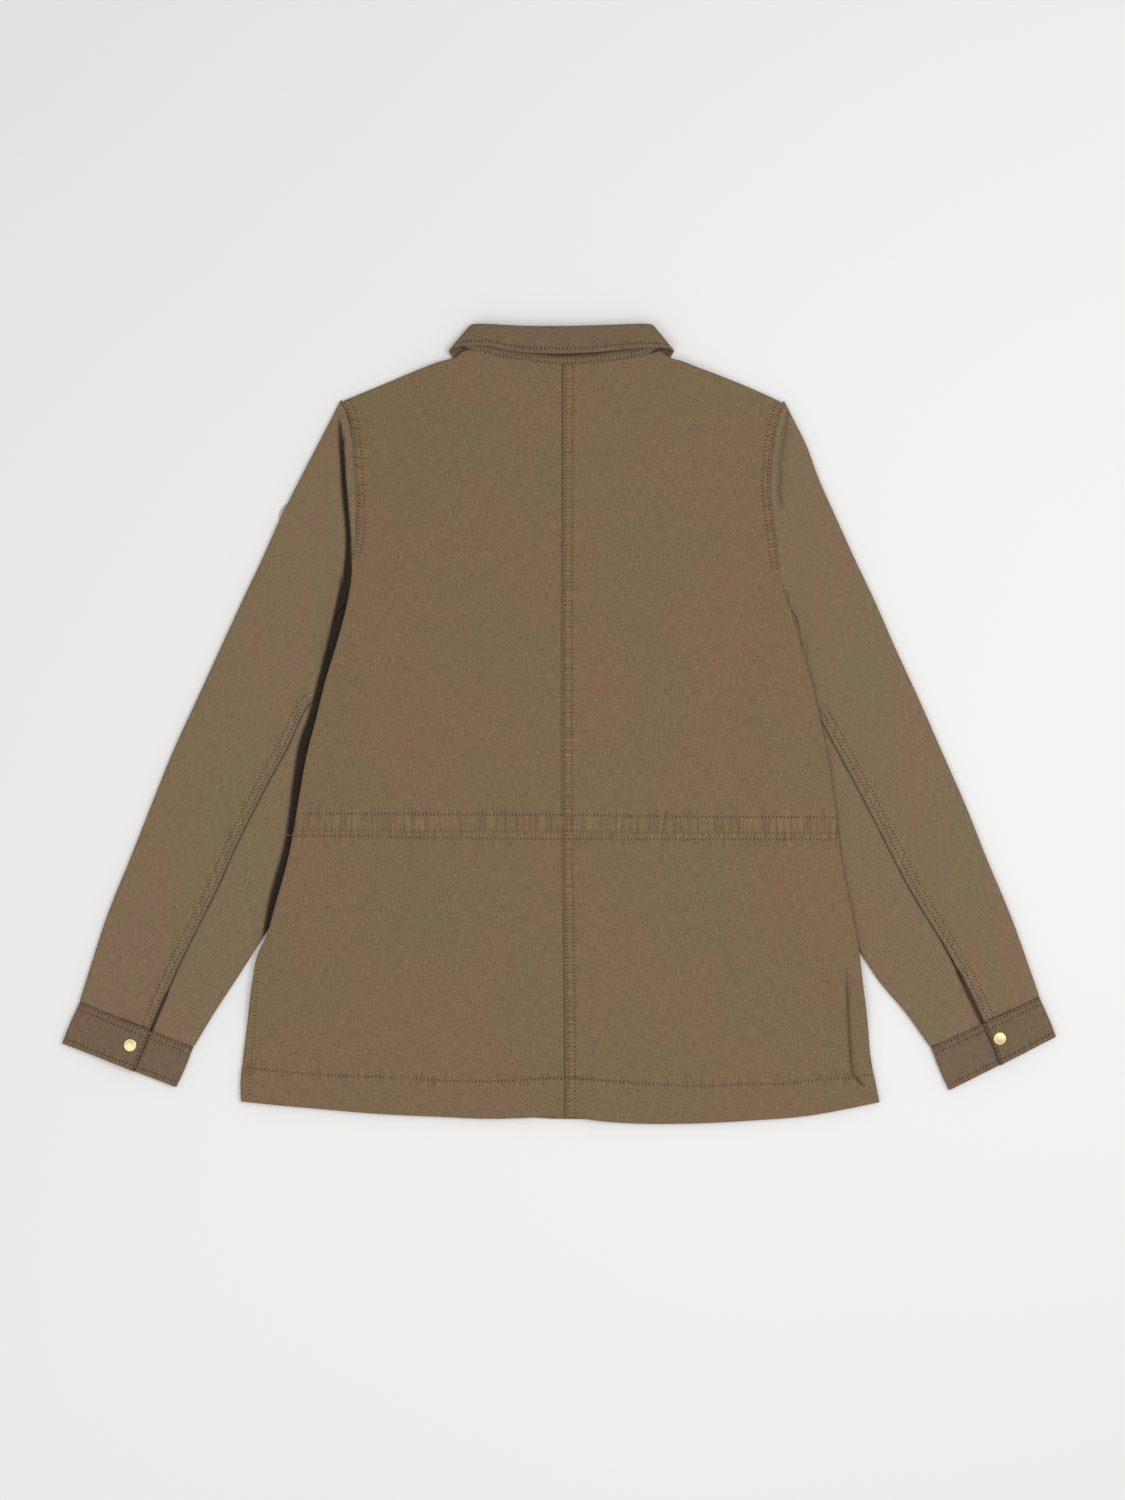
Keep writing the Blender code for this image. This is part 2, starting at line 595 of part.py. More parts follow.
def ring_stops(length, fold, start, end, at_outer):
    """Places round one end of a flattened ring: distance from the outer fold, height share and
    how far the place stands out from the line where the bend starts.

    The height share is 1 on the upper ply and -1 on the lower ply.
    """
    steps = 4
    turn = [math.radians(30.0 * step) for step in range(7)]
    reach = fold + CLOTH / 2.0
    bend_start = reach if at_outer else length - reach
    bend = [(bend_start, math.cos(angle), fold * math.sin(angle)) for angle in turn]
    before = [(start + (bend_start - start) * step / steps, 1.0, 0.0) for step in range(steps)]
    after = [(bend_start + (end - bend_start) * step / steps, -1.0, 0.0) for step in range(1, steps + 1)]
    stops = before + bend + after
    if at_outer:
        return stops
    return [(distance, -height, out) for distance, height, out in stops]


def fold_directions(ends, far_ends):
    """Unit vectors that point out of the sleeve, square to the line of its fold."""
    run = np.gradient(ends, axis=0)
    square = np.stack((-run[:, 1], run[:, 0]), axis=1)
    square /= np.linalg.norm(square, axis=1, keepdims=True)
    inward = ((ends - far_ends) * square).sum(axis=1) < 0.0
    square[inward] *= -1.0
    return square


def sleeve_panel(side, at_outer):
    """Grid of one of the sleeve's two pieces, from the armhole to the cuff."""
    grid = []
    rows = sleeve_rows(side)
    end_share = 0.0 if at_outer else 1.0
    ends = np.array([line(end_share) for line, *_ in rows])
    squares = fold_directions(ends, np.array([line(0.5) for line, *_ in rows]))
    for number, (end_point, square, row_parts) in enumerate(zip(ends, squares, rows)):
        line, upper, lower, seam, opening = row_parts
        length = row_length(line)
        fold = (upper(end_share, end_point) - lower(end_share, end_point)) / 2.0
        reach = fold + CLOTH / 2.0
        back_seam = seam * length
        front_seam = FRONT_SEAM_SHARE * length
        if at_outer:
            stops = ring_stops(length, fold, back_seam - opening / 2.0, front_seam - SEAM_GAP / 2.0, True)
            bend_share = reach / length
        else:
            stops = ring_stops(length, fold, front_seam + SEAM_GAP / 2.0, back_seam + opening / 2.0, False)
            bend_share = 1.0 - reach / length
        if at_outer:
            turned = min(number / HEAD_ROWS, 1.0)
            square = square * turned + (end_point - line(bend_share)) / reach * (1.0 - turned)
            square /= np.linalg.norm(square)
        sidestep = end_point - square * reach - line(bend_share)
        row = []
        for distance, height, out in stops:
            share = min(max(distance / length, 0.0), 1.0)
            point = line(share)
            high, low = upper(share, point), lower(share, point)
            z = (high + low) / 2.0 + (high - low) / 2.0 * height
            from_bend = abs(share - bend_share) * length
            point = point + sidestep * float(1.0 - smooth(0.0, SIDESTEP_REACH, from_bend)) + square * out
            row.append((point[0], point[1], z))
        grid.append(row)
    grid = np.array(grid)
    last, before = grid[-1], grid[-2]
    step = before - last
    grid[-1] = last + step / np.linalg.norm(step, axis=1, keepdims=True) * SEAM_GAP
    if side == "left":
        grid = grid[:, ::-1]
    return grid[:, ::-1]


def cuff_section(length, end_share):
    """The cuff's path from its lapped end round both folds to the end beneath: distance, height."""
    lap_end = end_share * length
    fold = (CUFF_UPPER_LEVEL - CUFF_LOWER_LEVEL) / 2.0
    middle = (CUFF_UPPER_LEVEL + CUFF_LOWER_LEVEL) / 2.0
    reach = fold + STIFF_CLOTH / 2.0
    far = length - reach
    under_end = lap_end - CUFF_LAP
    turn = [math.radians(30.0 * step) for step in range(7)]
    path = [(lap_end, CUFF_LAP_LEVEL), (lap_end - 11.0, CUFF_LAP_LEVEL), (lap_end - 22.0, CUFF_LAP_LEVEL)]
    path += [(lap_end - 34.0, CUFF_UPPER_LEVEL + 0.8), (reach + 8.0, CUFF_UPPER_LEVEL)]
    path += [(reach - fold * math.sin(angle), middle + fold * math.cos(angle)) for angle in turn]
    path += [(reach + (far - reach) * step / 4.0, CUFF_LOWER_LEVEL) for step in range(1, 4)]
    path += [(far + fold * math.sin(angle), middle - fold * math.cos(angle)) for angle in turn]
    path += [(far + (under_end - far) * step / 3.0, CUFF_UPPER_LEVEL) for step in range(1, 4)]
    return path


def cuff_grid(side):
    cuff = CUFF[side]
    grid = []
    for share in (0.0, 0.33, 0.67, 1.0):
        outer = np.array(cuff["outer_top"]) * (1.0 - share) + np.array(cuff["outer_bottom"]) * share
        inner = np.array(cuff["inner_top"]) * (1.0 - share) + np.array(cuff["inner_bottom"]) * share
        length = float(np.hypot(*(inner - outer)))
        row = []
        for distance, height in cuff_section(length, cuff["end_share"]):
            point = outer + (inner - outer) * distance / length
            row.append((point[0], point[1], height))
        grid.append(row)
    grid = np.array(grid)
    if side == "left":
        grid = grid[:, ::-1]
    return grid[:, ::-1]


def collar_grid():
    """Grid of the collar: stand, fold and leaf at each station round the neck."""
    fold = (LEAF_OFFSET - STAND_OFFSET) / 2.0
    middle = (LEAF_OFFSET + STAND_OFFSET) / 2.0
    grid = []
    for turn, neck_x, neck_y, fold_x, fold_y, leaf_x, leaf_y, outward in COLLAR:
        neck, crown = np.array([neck_x, neck_y]), np.array([fold_x, fold_y])
        leaf = np.array([leaf_x, leaf_y])
        up = (crown - neck) / np.linalg.norm(crown - neck)
        crown = crown - up * (fold + STIFF_CLOTH / 2.0)
        angle = math.radians(turn)
        stops = [(neck + (crown - neck) * share, STAND_OFFSET) for share in (0.0, 0.33, 0.67, 1.0)]
        for bend in (45.0, 90.0, 135.0):
            bend = math.radians(bend)
            stops.append((crown + up * fold * math.sin(bend), middle - fold * math.cos(bend)))
        stops += [(crown + (leaf - crown) * share, LEAF_OFFSET) for share in (0.0, 0.33, 0.67, 1.0)]
        row = []
        for point, offset in stops:
            x = point[0] + outward * offset * math.cos(angle)
            row.append((x, point[1], COLLAR_MIDDLE + offset * math.sin(angle)))
        grid.append(row)
    return np.array(grid)


def add_turned(name, centre, base, profile, segments, material):
    """A round piece from its profile of radius and height, closed at top and bottom."""
    vertices = []
    for radius, height in profile:
        for segment in range(segments):
            angle = 2.0 * math.pi * segment / segments
            x = centre[0] + radius * math.cos(angle)
            y = centre[1] + radius * math.sin(angle)
            vertices.append((x, y, base + height))
    faces = [tuple(reversed(range(segments)))]
    for ring in range(len(profile) - 1):
        for segment in range(segments):
            following = (segment + 1) % segments
            low, high = ring * segments, (ring + 1) * segments
            faces.append((low + segment, low + following, high + following, high + segment))
    top = (len(profile) - 1) * segments
    faces.append(tuple(range(top, top + segments)))
    return add_object(name, vertices, faces, material)


def centre_on_origin():
    """Move every mesh so that the origin is below the middle of the outline, on the surface."""
    meshes = [piece.data for piece in bpy.data.objects if piece.type == "MESH"]
    points = np.array([vertex.co for mesh in meshes for vertex in mesh.vertices])
    low, high = points.min(axis=0), points.max(axis=0)
    shift = (-(low[0] + high[0]) / 2.0, -(low[1] + high[1]) / 2.0, -low[2])
    for mesh in meshes:
        mesh.transform(Matrix.Translation(shift))


def build():
    for old in list(bpy.data.objects):
        bpy.data.objects.remove(old, do_unlink=True)
    body_cloth = make_material("body_cloth", CLOTH_COLOUR, 0.9)
    sleeve_cloth = make_material("sleeve_cloth", SLEEVE_COLOUR, 0.9)
    collar_cloth = make_material("collar_cloth", COLLAR_COLOUR, 0.9)
    cuff_cloth = make_material("cuff_cloth", CUFF_COLOUR, 0.9)
    brass = make_material("brass", BRASS_COLOUR, 0.32, 1.0)
    badge_felt = make_material("badge_felt", BADGE_COLOUR, 0.85)

    for side in ("left", "right"):
        grid, thickness = body_panel(
            side, BACK_ROWS, BACK_HEM[side], BACK_NECK[side], back_level, -1)
        add_wall("back_" + side, grid, thickness, body_cloth)
        level = lapped_front_level if side == "left" else front_level
        grid, thickness = body_panel(
            side, FRONT_ROWS, FRONT_HEM[side], FRONT_NECK[side], level, 1)
        add_wall("front_" + side, grid, thickness, body_cloth)
        add_wall("sleeve_%s_top" % side, sleeve_panel(side, True), CLOTH, sleeve_cloth)
        add_wall("sleeve_%s_under" % side, sleeve_panel(side, False), CLOTH, sleeve_cloth)
        add_wall("cuff_" + side, cuff_grid(side), STIFF_CLOTH, cuff_cloth)
        radius = SNAP_DIAMETER / 2.0
        profile = [(radius - 0.4, 0.0), (radius, 0.4), (radius, 1.0), (radius - 1.0, 1.6), (radius - 3.4, SNAP_HEIGHT)]
        snap_base = CUFF_LAP_LEVEL + STIFF_CLOTH / 2.0 + SEAM_GAP
        add_turned("snap_" + side, CUFF[side]["snap"], snap_base, profile, 24, brass)
    add_wall("collar", collar_grid(), STIFF_CLOTH, collar_cloth)
    radius = BADGE_DIAMETER / 2.0
    add_turned("sleeve_badge", BADGE_CENTRE, 0.0, [(radius, 0.0), (radius, BADGE_THICKNESS)], 32, badge_felt)
    centre_on_origin()


if __name__ == "__main__":
    build()
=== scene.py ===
"""Safari jacket laid flat on its front, back upwards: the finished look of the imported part.

Every cloth piece is a closed thin shell on a fine grid of points.  The outline tables and the
heights are in millimetres of the pattern; they become metres in the part's own frame when a mesh
is made.  X runs to the jacket's right as it lies, Y towards the collar, Z up.
"""

import json
import math

import bpy
import numpy as np
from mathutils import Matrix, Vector
from mathutils.bvhtree import BVHTree

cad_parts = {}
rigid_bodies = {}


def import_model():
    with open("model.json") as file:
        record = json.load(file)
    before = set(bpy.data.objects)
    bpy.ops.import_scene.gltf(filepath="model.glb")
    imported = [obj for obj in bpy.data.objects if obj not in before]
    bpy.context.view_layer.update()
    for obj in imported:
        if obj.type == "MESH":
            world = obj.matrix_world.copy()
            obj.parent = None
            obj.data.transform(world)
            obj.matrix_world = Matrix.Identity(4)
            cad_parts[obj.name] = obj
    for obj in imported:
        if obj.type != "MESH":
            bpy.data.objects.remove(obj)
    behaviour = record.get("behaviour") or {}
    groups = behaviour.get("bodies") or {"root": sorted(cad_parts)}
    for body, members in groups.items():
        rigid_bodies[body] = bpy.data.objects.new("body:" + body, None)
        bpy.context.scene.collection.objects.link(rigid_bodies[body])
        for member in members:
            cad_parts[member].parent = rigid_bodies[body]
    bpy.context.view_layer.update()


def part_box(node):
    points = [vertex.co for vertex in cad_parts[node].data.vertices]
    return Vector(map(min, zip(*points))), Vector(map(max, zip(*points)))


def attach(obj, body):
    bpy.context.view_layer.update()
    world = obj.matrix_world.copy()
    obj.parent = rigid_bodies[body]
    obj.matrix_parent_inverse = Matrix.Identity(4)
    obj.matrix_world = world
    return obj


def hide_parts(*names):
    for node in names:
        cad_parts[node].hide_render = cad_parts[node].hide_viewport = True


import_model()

bl_info = {
    "name": "Safari Jacket, Laid Flat",
    "version": (1, 0, 0),
    "blender": (4, 5, 0),
    "location": "View3D > Sidebar > Jacket",
    "description": "Makes a cotton twill safari jacket laid flat, with its stitching, snaps and stage",
    "category": "Object",
}

MM = 0.001

# Thickness of the cloth: single, in the turned hem, and in the collar and cuffs.
CLOTH = 1.2
HEM_CLOTH = 1.8
STIFF_CLOTH = 2.0
# Gaps that the solids have between neighbouring pieces.
SEAM_GAP = 0.3
HEAD_SEAM_GAP = 0.8

# Heights of the middles of the plies above the surface, and how far the body is lifted.
FRONT_LEVEL = 0.6
BACK_LEVEL = 3.8
SLEEVE_TUCKED_LEVEL = 2.7
SLEEVE_FREE_LEVEL = 4.3
SLEEVE_LIFT = 3.6
NECK_LIFT = 3.2
PLACKET_HALF_WIDTH = 15.0

WAIST_BAND_RISE = 0.5

NECK_COLUMN = 0.45
UNDERARM_FRACTION = 0.8
HEAD_SEAM_SHARE = 0.94

# Side edge and armhole of each half, from the hem corner up to the shoulder point: x, y.
EDGE = {
    "left": [
        (-296.7, 17.5), (-297.2, 32.2), (-295.3, 55.2), (-290.7, 92.0), (-286.1, 128.8),
        (-281.5, 151.8), (-275.1, 165.6), (-264.0, 202.4), (-253.9, 239.2), (-243.8, 294.4),
        (-237.4, 331.2), (-228.2, 368.0), (-219.0, 404.8), (-207.9, 441.6), (-198.7, 478.4),
        (-195.0, 506.0), (-195.0, 518.0), (-192.3, 533.6), (-190.9, 570.4), (-192.3, 588.8),
        (-195.0, 625.6), (-200.6, 651.4), (-206.1, 660.6),
    ],
    "right": [
        (289.8, 16.6), (286.6, 32.2), (282.4, 55.2), (278.8, 92.0), (274.2, 128.8),
        (269.6, 165.6), (262.2, 202.4), (254.8, 239.2), (248.4, 294.4), (242.9, 331.2),
        (235.5, 368.0), (227.2, 404.8), (216.2, 441.6), (207.0, 473.8), (200.6, 492.2),
        (198.7, 505.1), (196.4, 524.4), (194.1, 544.6), (190.0, 575.0), (190.9, 605.4),
        (195.0, 634.8), (199.6, 651.4), (203.3, 659.6),
    ],
}
UNDERARM_Y = {"left": 518.0, "right": 505.1}

# Shoulder line from the neck point to the shoulder point: x, y.
SHOULDER = {
    "left": [
        (-92.0, 706.6), (-102.1, 700.1), (-114.1, 696.9), (-127.9, 691.8), (-155.5, 680.8),
        (-183.1, 669.8), (-206.1, 660.6),
    ],
    "right": [
        (88.3, 706.1), (98.4, 700.1), (107.6, 697.8), (120.5, 692.8), (148.1, 682.6),
        (175.7, 671.6), (203.3, 659.6),
    ],
}

# Neck seam of the back, from the centre out to the neck point: x, y.
BACK_NECK = {
    "left": [
        (-1.4, 693.7), (-17.5, 695.1), (-34.0, 697.4), (-49.7, 699.7), (-67.2, 703.1),
        (-81.9, 706.6), (-92.0, 706.6),
    ],
    "right": [(-1.4, 693.7), (23.9, 694.9), (43.2, 697.4), (60.7, 699.8), (79.1, 703.3), (88.3, 706.1)],
}

# Neck seam of the front, from past the centre out to the neck point: x, y.
FRONT_NECK = {
    "left": [(15.0, 621.5), (0.0, 620.1), (-31.3, 627.4), (-58.9, 648.6), (-79.1, 676.2), (-92.0, 706.6)],
    "right": [(-15.0, 621.5), (0.0, 620.1), (31.3, 627.4), (58.9, 648.6), (77.1, 676.2), (88.3, 706.1)],
}

# Hem edge from the centre out to the hem corner: x, y.
BACK_HEM = {
    "left": [
        (0.9, 5.5), (-22.1, 3.7), (-58.9, 1.8), (-118.7, 3.7), (-173.9, 6.4), (-229.1, 11.0),
        (-270.5, 14.7), (-296.7, 17.5),
    ],
    "right": [
        (0.9, 5.5), (19.3, 1.8), (46.9, -1.4), (106.7, -2.8), (171.1, 0.0), (226.3, 4.6),
        (267.7, 12.0), (289.8, 16.6),
    ],
}
FRONT_HEM = {
    "left": [(15.0, 1.4), (-58.9, 3.4), (-118.7, 5.4), (-173.9, 8.0), (-229.1, 12.2), (-296.7, 17.5)],
    "right": [(-15.0, 1.4), (46.9, 0.6), (106.7, -0.8), (171.1, 2.0), (226.3, 6.2), (289.8, 16.6)],
}

# Rows of a body panel up to the underarm: y at the centre, y at the side edge.  Above it the
# rows end at the points of the armhole.
BACK_ROWS = [
    (5.5, 17.5), (38.0, 45.0), (41.0, 48.0), (90.0, 95.0), (140.0, 142.0), (180.0, 182.0),
    (220.0, 222.0), (257.0, 257.5), (260.5, 261.0), (280.5, 279.5), (283.5, 283.0),
    (325.0, 322.0), (365.0, 360.0), (400.0, 392.0), (435.0, 422.0), (465.0, 450.0),
    (490.0, 478.0),
]
FRONT_ROWS = [
    (1.4, 17.5), (38.0, 45.0), (41.0, 48.0), (90.0, 95.0), (140.0, 142.0), (180.0, 182.0),
    (220.0, 222.0), (270.0, 270.0), (325.0, 322.0), (365.0, 360.0), (400.0, 392.0),
    (435.0, 422.0), (465.0, 450.0), (485.0, 478.0),
]

# Sleeve stations from the shoulder to the cuff, at the outer and inner folds, with the back
# seam's share of the width and the seam's opening there.
SLEEVE = {
    "left": [
        # outer x, outer y, inner x, inner y, seam share, opening
        (-226.3, 621.0, -200.0, 449.0, 0.912, 0.2),
        (-242.9, 588.8, -201.0, 437.0, 0.90, 0.2),
        (-260.4, 553.8, -203.0, 424.0, 0.90, 0.2),
        (-277.8, 515.2, -204.5, 407.0, 0.88, 0.2),
        (-295.3, 478.4, -204.0, 386.0, 0.85, 0.2),
        (-316.5, 432.4, -201.0, 358.0, 0.70, 0.3),
        (-337.6, 386.4, -206.0, 320.0, 0.64, 0.3),
        (-358.8, 340.4, -219.0, 279.7, 0.60, 0.3),
        (-380.0, 288.0, -240.1, 228.2, 0.57, 0.3),
        (-395.6, 248.4, -262.2, 191.4, 0.585, 0.3),
        (-421.4, 184.0, -299.9, 131.6, 0.60, 0.4),
        (-433.6, 146.5, -321.5, 98.5, 0.615, 0.9),
        (-445.3, 109.5, -340.4, 67.2, 0.63, 1.0),
    ],
    "right": [
        (222.6, 621.0, 207.0, 448.0, 0.946, 0.2),
        (234.6, 588.8, 208.0, 436.0, 0.94, 0.2),
        (250.2, 553.8, 209.5, 423.0, 0.937, 0.2),
        (267.7, 515.2, 209.5, 406.0, 0.936, 0.2),
        (285.2, 478.4, 209.0, 385.0, 0.93, 0.2),
        (305.4, 432.4, 207.0, 357.0, 0.76, 0.2),
        (326.6, 386.4, 209.5, 320.0, 0.66, 0.3),
        (346.8, 340.4, 217.0, 277.0, 0.587, 0.3),
        (369.8, 288.0, 231.8, 227.2, 0.54, 0.3),
        (387.3, 243.8, 254.8, 185.8, 0.53, 0.4),
        (412.2, 184.0, 288.4, 129.7, 0.495, 0.8),
        (424.6, 149.5, 314.4, 98.5, 0.51, 2.2),
        (437.0, 114.1, 336.7, 67.2, 0.525, 2.4),
    ],
}
FRONT_SEAM_SHARE = 0.45
SIDESTEP_REACH = 12.0
HEAD_ROWS = 4
# How far from the inner fold each of the upper stations turns to meet it squarely.
SLEEVE_APPROACH = (14.0, 14.0, 13.0, 11.0, 8.0)

# The sleeve head rows, measured outwards and downwards from the armhole seam at shares of its
# length: the crest of the seam's strip, the bottom of the crease beside it, and the shoulder
# where the sleeve's own surface starts.
HEAD_SHARES = (0.0, 0.1, 0.2, 0.41, 0.51, 0.71, 0.8, 1.0)
HEAD_CREST = ((2.6, 5.0), (7.0, 3.5), (11.0, 0.0), (7.3, 0.0), (6.6, 0.0), (4.0, 0.0), (3.5, 1.0), (1.5, 1.0))
HEAD_CREASE = (
    (4.6, 9.0), (9.8, 6.0), (13.5, 0.0), (10.5, 0.0), (10.5, 0.0), (8.0, 0.0), (7.0, 2.0), (2.8, 2.5)
)
HEAD_SHOULDER = (
    (6.8, 13.2), (13.0, 9.0), (17.0, 0.0), (15.0, 0.0), (15.0, 0.0), (12.0, 0.0), (10.5, 3.0), (4.0, 4.0)
)
CREASE_LEVEL = {"left": 2.4, "right": 3.3}
ARMHOLE_TAIL = {
    "left": [(-195.3, 508.0), (-196.0, 493.0), (-197.0, 480.2), (-198.5, 458.0)],
    "right": [(199.8, 499.0), (201.6, 488.0), (203.4, 477.0), (205.5, 457.0)],
}

# Cuff corners, the place of the lapped end as a share of the width, and the snap's centre.
CUFF = {
    "left": {
        "outer_top": (-445.3, 109.5), "inner_top": (-340.4, 67.2),
        "outer_bottom": (-461.8, 71.3), "inner_bottom": (-356.0, 30.6),
        "end_share": 0.64, "snap": (-397.7, 69.9),
    },
    "right": {
        "outer_top": (437.0, 114.1), "inner_top": (336.7, 67.2),
        "outer_bottom": (452.6, 77.3), "inner_bottom": (353.3, 27.6),
        "end_share": 0.525, "snap": (399.6, 75.9),
    },
}
CUFF_LAP = 18.0
CUFF_LOWER_LEVEL = 1.0
CUFF_UPPER_LEVEL = 3.9
CUFF_LAP_LEVEL = 6.2

BADGE_CENTRE = (-247.3, 554.0)
BADGE_CLEAR_RADIUS = 26.0

# Collar stations round the neck, from the left front end to the back and on to the right front
# end.  The turn says which way the layers stack: 90 up, 0 outwards, -90 down.
COLLAR_MIDDLE = 5.5
STAND_OFFSET = 1.7
LEAF_OFFSET = 4.5
COLLAR = [
    # turn, neck x, neck y, fold x, fold y, leaf edge x, leaf edge y, outward side
    (-90, -3.0, 620.4, -3.0, 658.0, -14.0, 606.0, -1),
    (-90, -31.3, 627.7, -30.0, 667.0, -46.0, 618.0, -1),
    (-90, -58.9, 648.9, -57.0, 686.0, -78.0, 646.0, -1),
    (-90, -79.1, 676.6, -74.0, 709.0, -95.0, 676.0, -1),
    (-90, -88.0, 700.0, -79.5, 725.0, -99.5, 697.0, -1),
    (-45, -90.0, 709.0, -80.5, 729.5, -100.8, 704.0, -1),
    (0, -90.2, 710.5, -81.0, 730.5, -101.0, 706.0, -1),
    (45, -89.0, 709.5, -80.8, 731.0, -100.0, 708.0, -1),
    (90, -82.5, 707.2, -78.0, 731.3, -93.5, 710.5, -1),
    (90, -67.2, 703.4, -66.0, 731.0, -74.0, 711.0, -1),
    (90, -49.7, 700.0, -49.7, 730.0, -53.0, 706.9, -1),
    (90, -34.0, 697.7, -34.0, 729.4, -34.0, 704.5, -1),
    (90, -17.5, 695.4, -17.5, 729.3, -17.5, 703.8, -1),
    (90, -1.4, 694.2, -1.4, 729.3, -1.4, 703.6, 1),
    (90, 23.9, 695.4, 23.9, 729.8, 23.9, 704.6, 1),
    (90, 43.2, 697.9, 43.2, 730.4, 43.2, 706.3, 1),
    (90, 60.7, 700.3, 60.7, 731.0, 63.0, 708.0, 1),
    (90, 77.0, 703.6, 72.5, 731.4, 86.0, 709.2, 1),
    (45, 84.0, 709.0, 76.8, 731.0, 95.5, 707.6, 1),
    (0, 86.3, 710.0, 77.2, 730.5, 96.3, 706.2, 1),
    (-45, 86.0, 708.5, 76.8, 729.5, 96.2, 704.0, 1),
    (-90, 84.2, 699.5, 75.5, 725.0, 95.5, 697.0, 1),
    (-90, 77.1, 676.6, 71.5, 709.0, 92.0, 676.0, 1),
    (-90, 58.9, 648.9, 56.0, 686.0, 77.0, 646.0, 1),
    (-90, 31.3, 627.7, 30.0, 667.0, 46.0, 618.0, 1),
    (-90, 3.0, 620.4, 3.0, 658.0, 14.0, 606.0, 1),
]

# Regions that raise the body: the sleeves tucked under its sides, and the collar's front half.
TUCKED_REGION = {
    "left": [
        (-213.0, 455.0), (-213.0, 425.0), (-211.0, 408.0), (-206.0, 386.0), (-201.0, 358.0),
        (-206.0, 320.0), (-219.0, 279.7), (-240.1, 228.2), (-262.2, 191.4), (-299.9, 131.6),
        (-330.0, 131.6), (-330.0, 440.0),
    ],
    "right": [
        (222.0, 455.0), (222.0, 423.0), (218.0, 406.0), (212.0, 385.0), (207.0, 357.0),
        (209.5, 320.0), (217.0, 277.0), (231.8, 227.2), (254.8, 185.8), (288.4, 129.7),
        (330.0, 129.7), (330.0, 440.0),
    ],
}
TUCKED_MARGIN = (20.0, 60.0)
COLLAR_REGION = [
    (-106.0, 712.0), (-106.0, 696.0), (-97.0, 668.0), (-78.0, 640.0), (-46.0, 612.0), (0.0, 600.0),
    (46.0, 612.0), (77.0, 640.0), (95.0, 668.0), (103.0, 696.0), (103.0, 712.0),
]
COLLAR_MARGIN = (10.0, 72.0)

# Where the photograph's seams and creases run, on the side that lies upwards.
ARMHOLE_SEAM = {
    "left": [
        (-206.1, 660.6), (-201.5, 655.0), (-195.0, 625.6), (-192.3, 588.8), (-190.9, 570.4),
        (-192.3, 533.6), (-196.0, 518.9),
    ],
    "right": [
        (202.4, 657.8), (195.0, 634.8), (190.9, 605.4), (190.0, 575.0), (194.1, 544.6),
        (196.4, 524.4), (198.7, 505.1),
    ],
}
WAIST_ROWS = [
    [(-240.5, 282.0), (-150.9, 281.5), (-77.3, 281.1), (-1.8, 280.6), (79.1, 279.7), (161.9, 278.8),
        (248.0, 278.8)],
    [(-253.5, 262.2), (-150.9, 260.8), (-77.3, 259.4), (-1.8, 259.0), (79.1, 258.5), (161.9, 258.5),
        (252.1, 258.5)],
]
WAIST_CREASE = [(-242.9, 266.8), (-132.5, 266.3), (-1.8, 265.9), (125.1, 265.0), (249.3, 264.0)]
HEM_ROW = [
    (-293.0, 48.4), (-276.0, 46.9), (-251.2, 44.2), (-207.9, 41.4), (-157.3, 39.6), (-77.3, 35.9),
    (0.9, 38.6),
    (69.9, 34.5), (125.1, 31.6), (161.9, 33.1), (199.6, 34.0), (227.2, 36.8), (265.0, 39.6), (286.0, 43.0),
]
SIDE_ROW = [(-281.0, 140.0), (-282.4, 110.4), (-287.3, 50.6), (-289.3, 23.0)]
CENTRE_SEAM = [(-1.4, 693.7), (-1.4, 230.0), (0.9, 75.0), (0.9, 5.5)]
NECK_ROWS = [
    [(-78.0, 708.2), (-67.2, 704.9), (-34.0, 701.0), (-1.8, 699.8), (43.2, 701.8), (77.0, 707.0)],
    [(-74.0, 704.4), (-60.0, 702.0), (-34.0, 698.2), (-1.8, 695.6), (43.2, 698.9), (74.0, 704.0)],
]
# Outer edge of the painted shadow in the deep gap between the left sleeve and the body.
GAP_OUTER = [
    (-207.9, 644.0), (-206.1, 588.8), (-202.4, 515.2), (-209.8, 478.4), (-218.0, 441.6), (-227.2, 404.8),
    (-237.4, 368.0), (-243.8, 349.6), (-250.2, 312.8), (-257.6, 257.6), (-272.3, 202.4), (-278.8, 165.6),
]

